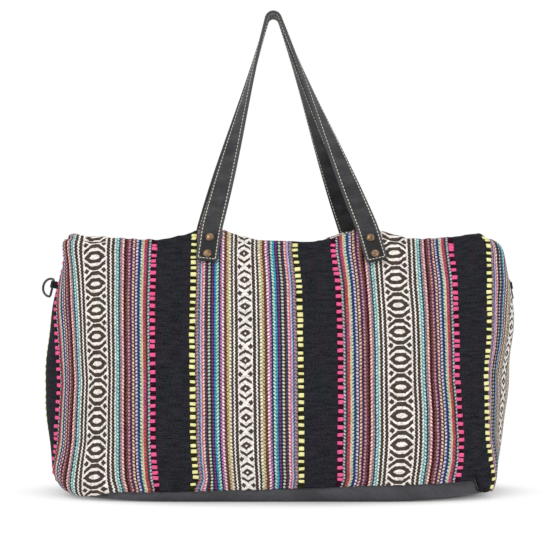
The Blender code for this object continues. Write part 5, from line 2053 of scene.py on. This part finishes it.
# --------------------------------------------------------------------------- rings
@dataclass
class EndRing:
    """A wire ring at one end of the bag, in a folded webbing tab sewn into the end seam."""

    hand: str
    turned: float
    wire: float = 0.0014
    height: float = 0.0245
    depth: float = 0.0165
    slack: float = 0.0007
    tab_width: float = 0.0085
    tab_thickness: float = 0.0012
    stand_off: float = 0.0068
    bar_share: float = 0.94
    bow_fullness: float = 0.8
    tab_slack: float = 0.0003
    tab_radius: float = 0.0005
    buried: float = 0.0035
    pinch: float = 0.45
    pinch_length: float = 0.006

    def pivot(self) -> tuple[Array, Array, Array, Array]:
        """The ring's bar: a point on it, the way out of the bag, across, and up along it.

        Returns:
            The point and the three directions.
        """
        joint = next(j for j in frame["joints"] if j["name"] == f"{self.hand}_ring_swing")
        up = unit(np.array(joint["axis"], float))
        end = -1.0 if self.hand == "left" else 1.0
        out = unit(np.cross(up, (0.0, -1.0, 0.0)) * end)
        return np.array(joint["pos_m"], float), out, np.cross(up, out), up

    def ring_rings(self) -> Array:
        """The wire's rings of points: a bow as a flattened half oval, closed by a straight bar.

        Returns:
            Rings (n, k, 3), about the pivot's middle.
        """
        half = self.height / 2 - self.wire
        deep = self.depth - 2 * self.wire
        turn = np.linspace(0.0, math.pi, 61)[1:-1]
        bow = np.stack((deep * np.sin(turn) ** self.bow_fullness, half * np.cos(turn)), -1)
        y = np.linspace(-self.bar_share, self.bar_share, 15) * half
        line = np.concatenate((bow, np.stack((np.zeros_like(y), y), -1)))
        for _ in range(3):
            line = (np.roll(line, 1, axis=0) + 2 * line + np.roll(line, -1, axis=0)) / 4
        drop = self.height / 2 - 2 * self.wire - self.tab_width / 2 - self.slack
        path = np.stack((line[:, 0], np.zeros(len(line)), line[:, 1] - drop), -1)
        tangent = unit(np.roll(path, -1, axis=0) - np.roll(path, 1, axis=0))
        side = np.array((0.0, 1.0, 0.0))
        return carried(circle(14, self.wire), path, side, np.cross(side, tangent))

    def build(self) -> None:
        """The ring, and the tab that holds it."""
        place, out, across, up = self.pivot()
        c, s = math.cos(self.turned), math.sin(self.turned)
        swung = np.stack((out * c + across * s, across * c - out * s, up), -1)
        kit = MeshKit()
        kit.tube(place + self.ring_rings() @ swung.T, loop=True)
        ring = kit.build(f"gunmetal_ring_{self.hand}", Finishes.GUNMETAL.value)
        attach(ring, f"{self.hand}_ring")
        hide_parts(f"ring_{self.hand}")
        self.tab(place, out, across, up)

    def tab(self, place: Array, out: Array, across: Array, up: Array) -> None:
        """Webbing folded round the bar: straight out, a half circle, and straight back.

        Args:
            place: A point on the bar.
            out: The way out of the bag.
            across: The way across.
            up: The way up the bar.
        """
        middle = self.wire + self.tab_slack + self.tab_thickness / 2
        root = -(self.stand_off + self.buried)
        turn = np.linspace(math.pi / 2, -math.pi / 2, 17)
        leg = np.linspace(root, 0.0, 8)[:-1]
        x = np.concatenate((leg, middle * np.cos(turn), leg[::-1]))
        y = np.concatenate((np.full(7, middle), middle * np.sin(turn), np.full(7, -middle)))
        pinch = lerp(self.pinch, 1.0, risen(x, root, self.pinch_length))
        path = place + x[:, None] * out + (y * pinch)[:, None] * across
        section = round_section(self.tab_width, self.tab_thickness, self.tab_radius, 3)
        rings = carried(section, path, up, np.cross(up, unit(np.gradient(path, axis=0))))
        kit = MeshKit()
        kit.tube(rings, np.stack(np.meshgrid(closed_section(section), run_length(path)), -1))
        made = kit.build(f"webbing_tab_{self.hand}", Finishes.WEBBING.value)
        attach(made, "bag")
        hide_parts(f"ring_tab_{self.hand}")


# --------------------------------------------------------------------------- zip
@dataclass
class ZipClosure:
    """The coil zip: two woven tapes and two nylon coils."""

    level: float = 0.290
    half_length: float = 0.188
    overrun: float = 0.006
    tape_width: float = 0.011
    tape_thickness: float = 0.0008
    coil_width: float = 0.0030
    coil_pitch: float = 0.0017
    coil_wire: float = 0.00034
    stop_length: float = 0.005
    stop_inset: float = 0.0025
    stop_gap: float = 0.0006
    tape_gap: float = 0.0003
    tape_radius: float = 0.0003
    coil_middle: float = 0.00125
    coil_half: float = 0.00150
    coil_rise: float = 0.00072
    coil_steps: int = 12

    def tape(self, label: str, side: int) -> None:
        """One tape: a thin rounded slab along x.

        Args:
            label: The side's name.
            side: -1 for the front, 1 for the back.
        """
        x = np.linspace(-1.0, 1.0, 60) * (self.half_length + self.overrun)
        middle = side * (self.coil_width + self.tape_gap + self.tape_width / 2)
        path = np.stack((x, np.full_like(x, middle), np.full_like(x, self.level)), -1)
        section = round_section(self.tape_width, self.tape_thickness, self.tape_radius, 2)
        kit = MeshKit()
        kit.tube(carried(section, path, np.array((0.0, 1.0, 0.0)), UPWARD),
                 np.stack(np.meshgrid(closed_section(section), x), -1))
        made = kit.build(f"woven_tape_{label}", Finishes.ZIP_TAPE.value)
        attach(made, "bag")
        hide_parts(f"zip_tape_{label}")

    def coil(self, label: str, side: int) -> None:
        """One coil: a flattened spiral of wire, its heads just past the zip's middle line.

        Args:
            label: The side's name.
            side: -1 for the front, 1 for the back.
        """
        run = self.half_length - self.stop_inset - self.stop_length - self.stop_gap
        turns = int(2 * run / self.coil_pitch)
        t = np.linspace(0.0, turns, turns * self.coil_steps + 1)
        phase = t * math.tau + (math.pi if side > 0 else 0.0)
        x = lerp(-run, run, t / turns) + side * self.coil_pitch / 4
        y = side * (self.coil_middle + self.coil_half * np.cos(phase))
        path = np.stack((x, y, self.level + self.coil_rise * np.sin(phase)), -1)
        tangent = unit(np.gradient(path, axis=0))
        across = unit(np.cross(tangent, (1.0, 0.0, 0.0)))
        kit = MeshKit()
        kit.tube(carried(circle(5, self.coil_wire), path, across, np.cross(tangent, across)))
        made = kit.build(f"nylon_coil_{label}", Finishes.NYLON.value, weld=False)
        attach(made, "bag")
        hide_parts(f"zip_coil_{label}")

    def build(self) -> None:
        """Tapes and coils on both sides."""
        for label, side in SIDES:
            self.tape(label, side)
            self.coil(label, side)


def dress_frame() -> None:
    """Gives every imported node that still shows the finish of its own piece."""
    for name, node in frame["nodes"].items():
        if node.hide_render:
            continue
        finish = Finishes.BRASS if name.startswith("rivet") else Finishes.GUNMETAL
        node.data.materials.clear()
        node.data.materials.append(finish.value.material())


# --------------------------------------------------------------------------- studio
@dataclass(frozen=True)
class PaleFloor(Finish):
    """A pale floor that keeps the bag's shadow and runs out to plain white."""

    tint: str = "#fdfdfd"
    oval: tuple[float, float] = (0.30, 0.15)
    near: float = 0.74
    far: float = 1.09

    def paint(self, bench: Bench) -> None:
        """Matt paint in an oval round the bag, blended to a white glow further out.

        Args:
            bench: The bench of the finish's material.
        """
        place = bench.place()
        x, y, _ = bench.axes(place)
        x, y = x / self.oval[0], y / self.oval[1]
        away = (x * x + y * y).power(0.5)
        grain = bench.noise(place, 30.0, 2.0)
        matt = bench.node("ShaderNodeBsdfDiffuse", {},
                          {"Color": bench.shade(self.tint, grain * 0.02 + 0.98)})
        glow = bench.node("ShaderNodeEmission", {}, {"Color": (1, 1, 1, 1), "Strength": 1.0})
        bench.show(bench.node("ShaderNodeMixShader", {}, {
            0: away.stretch(self.near, self.far), 1: matt.outputs[0], 2: glow.outputs[0]}))


@dataclass
class Studio:
    """Camera, floor, lamps and world."""

    eye: tuple[float, float, float] = (-0.004, -2.015, 0.257)
    aim: tuple[float, float, float] = (0.0, 0.0, 0.2)
    field_deg: float = 18.5
    ambient: float = 0.62
    key_power: float = 26.0
    fill_power: float = 12.0
    top_power: float = 14.0
    floor_half: float = 12.0
    floor_level: float = -0.0002

    def camera(self) -> None:
        """A level camera that looks along +Y."""
        data = bpy.data.cameras.new("photo_camera")
        data.sensor_width = 36.0
        data.lens = 18.0 / math.tan(math.radians(self.field_deg) / 2)
        data.clip_start = 0.05
        data.clip_end = 60.0
        made = placed("photo_camera", data)
        made.location = self.eye
        made.rotation_euler = (math.pi / 2, 0.0, 0.0)
        bpy.context.scene.camera = made

    def lamp(self, name: str, place: Sequence[float], size: float, power: float) -> None:
        """A square soft lamp turned towards the bag.

        Args:
            name: Its name.
            place: Where it hangs.
            size: Its side.
            power: Its power in watts.
        """
        data = bpy.data.lights.new(name, "AREA")
        data.shape = "SQUARE"
        data.size = size
        data.energy = power
        back = unit(np.array(place, float) - np.array(self.aim, float))
        side = unit(np.cross(UPWARD, back))
        matrix = np.eye(4)
        matrix[:3, :3] = np.stack((side, np.cross(back, side), back), -1)
        matrix[:3, 3] = place
        placed(name, data).matrix_world = Matrix(matrix.tolist())

    def world(self) -> None:
        """Even light from all round, and plain white where the camera looks past the bag."""
        world = bpy.data.worlds.new("studio_white")
        bpy.context.scene.world = world
        bench = Bench(world)
        path = bench.node("ShaderNodeLightPath")
        camera, through, glossy = (Signal(bench, path.outputs[f"Is {ray} Ray"])
                                   for ray in ("Camera", "Transmission", "Glossy"))
        light, white = (bench.node("ShaderNodeBackground", {}, {0: (1, 1, 1, 1), 1: strength})
                        for strength in (self.ambient, 1.0))
        bench.show(bench.node("ShaderNodeMixShader", {}, {
            0: camera | through | glossy, 1: light.outputs[0], 2: white.outputs[0]}),
            "ShaderNodeOutputWorld")

    def floor(self) -> None:
        """One wide floor at the height that the bag stands on."""
        line = np.linspace(-self.floor_half, self.floor_half, 3)
        x, y = np.meshgrid(line, line)
        kit = MeshKit()
        kit.grid(np.stack((x, y, np.full_like(x, self.floor_level)), -1))
        made = kit.build("studio_floor", PaleFloor("pale_floor_paint"))

    def build(self) -> None:
        """Everything round the bag."""
        self.camera()
        self.floor()
        self.lamp("key", (-1.3, -1.9, 1.9), 1.6, self.key_power)
        self.lamp("fill", (1.9, -1.7, 1.0), 1.8, self.fill_power)
        self.lamp("top", (0.2, 0.5, 2.4), 1.8, self.top_power)
        self.world()
        bpy.context.scene.view_settings.view_transform = "Standard"


def main() -> None:
    """Builds the bag piece by piece, then the studio round it."""
    logging.basicConfig(level=logging.INFO, format="%(message)s")
    Studio().build()
    form = BagForm()
    seats = {(label, hand): TabSeat.read(f"{label}_handle_tab_{hand}", side)
             for label, side in SIDES for hand in HANDS}
    WovenShell(form, list(seats.values())).build()
    CanvasBase(form).build()
    LiningBag(form).build()
    for label, side in SIDES:
        LeatherHandle(label, side, tuple(seats[label, hand] for hand in HANDS)).build()
    EndRing("left", math.radians(-31.0), stand_off=0.0125).build()
    EndRing("right", math.radians(84.0)).build()
    ZipClosure().build()
    dress_frame()


if __name__ == "__main__":
    main()
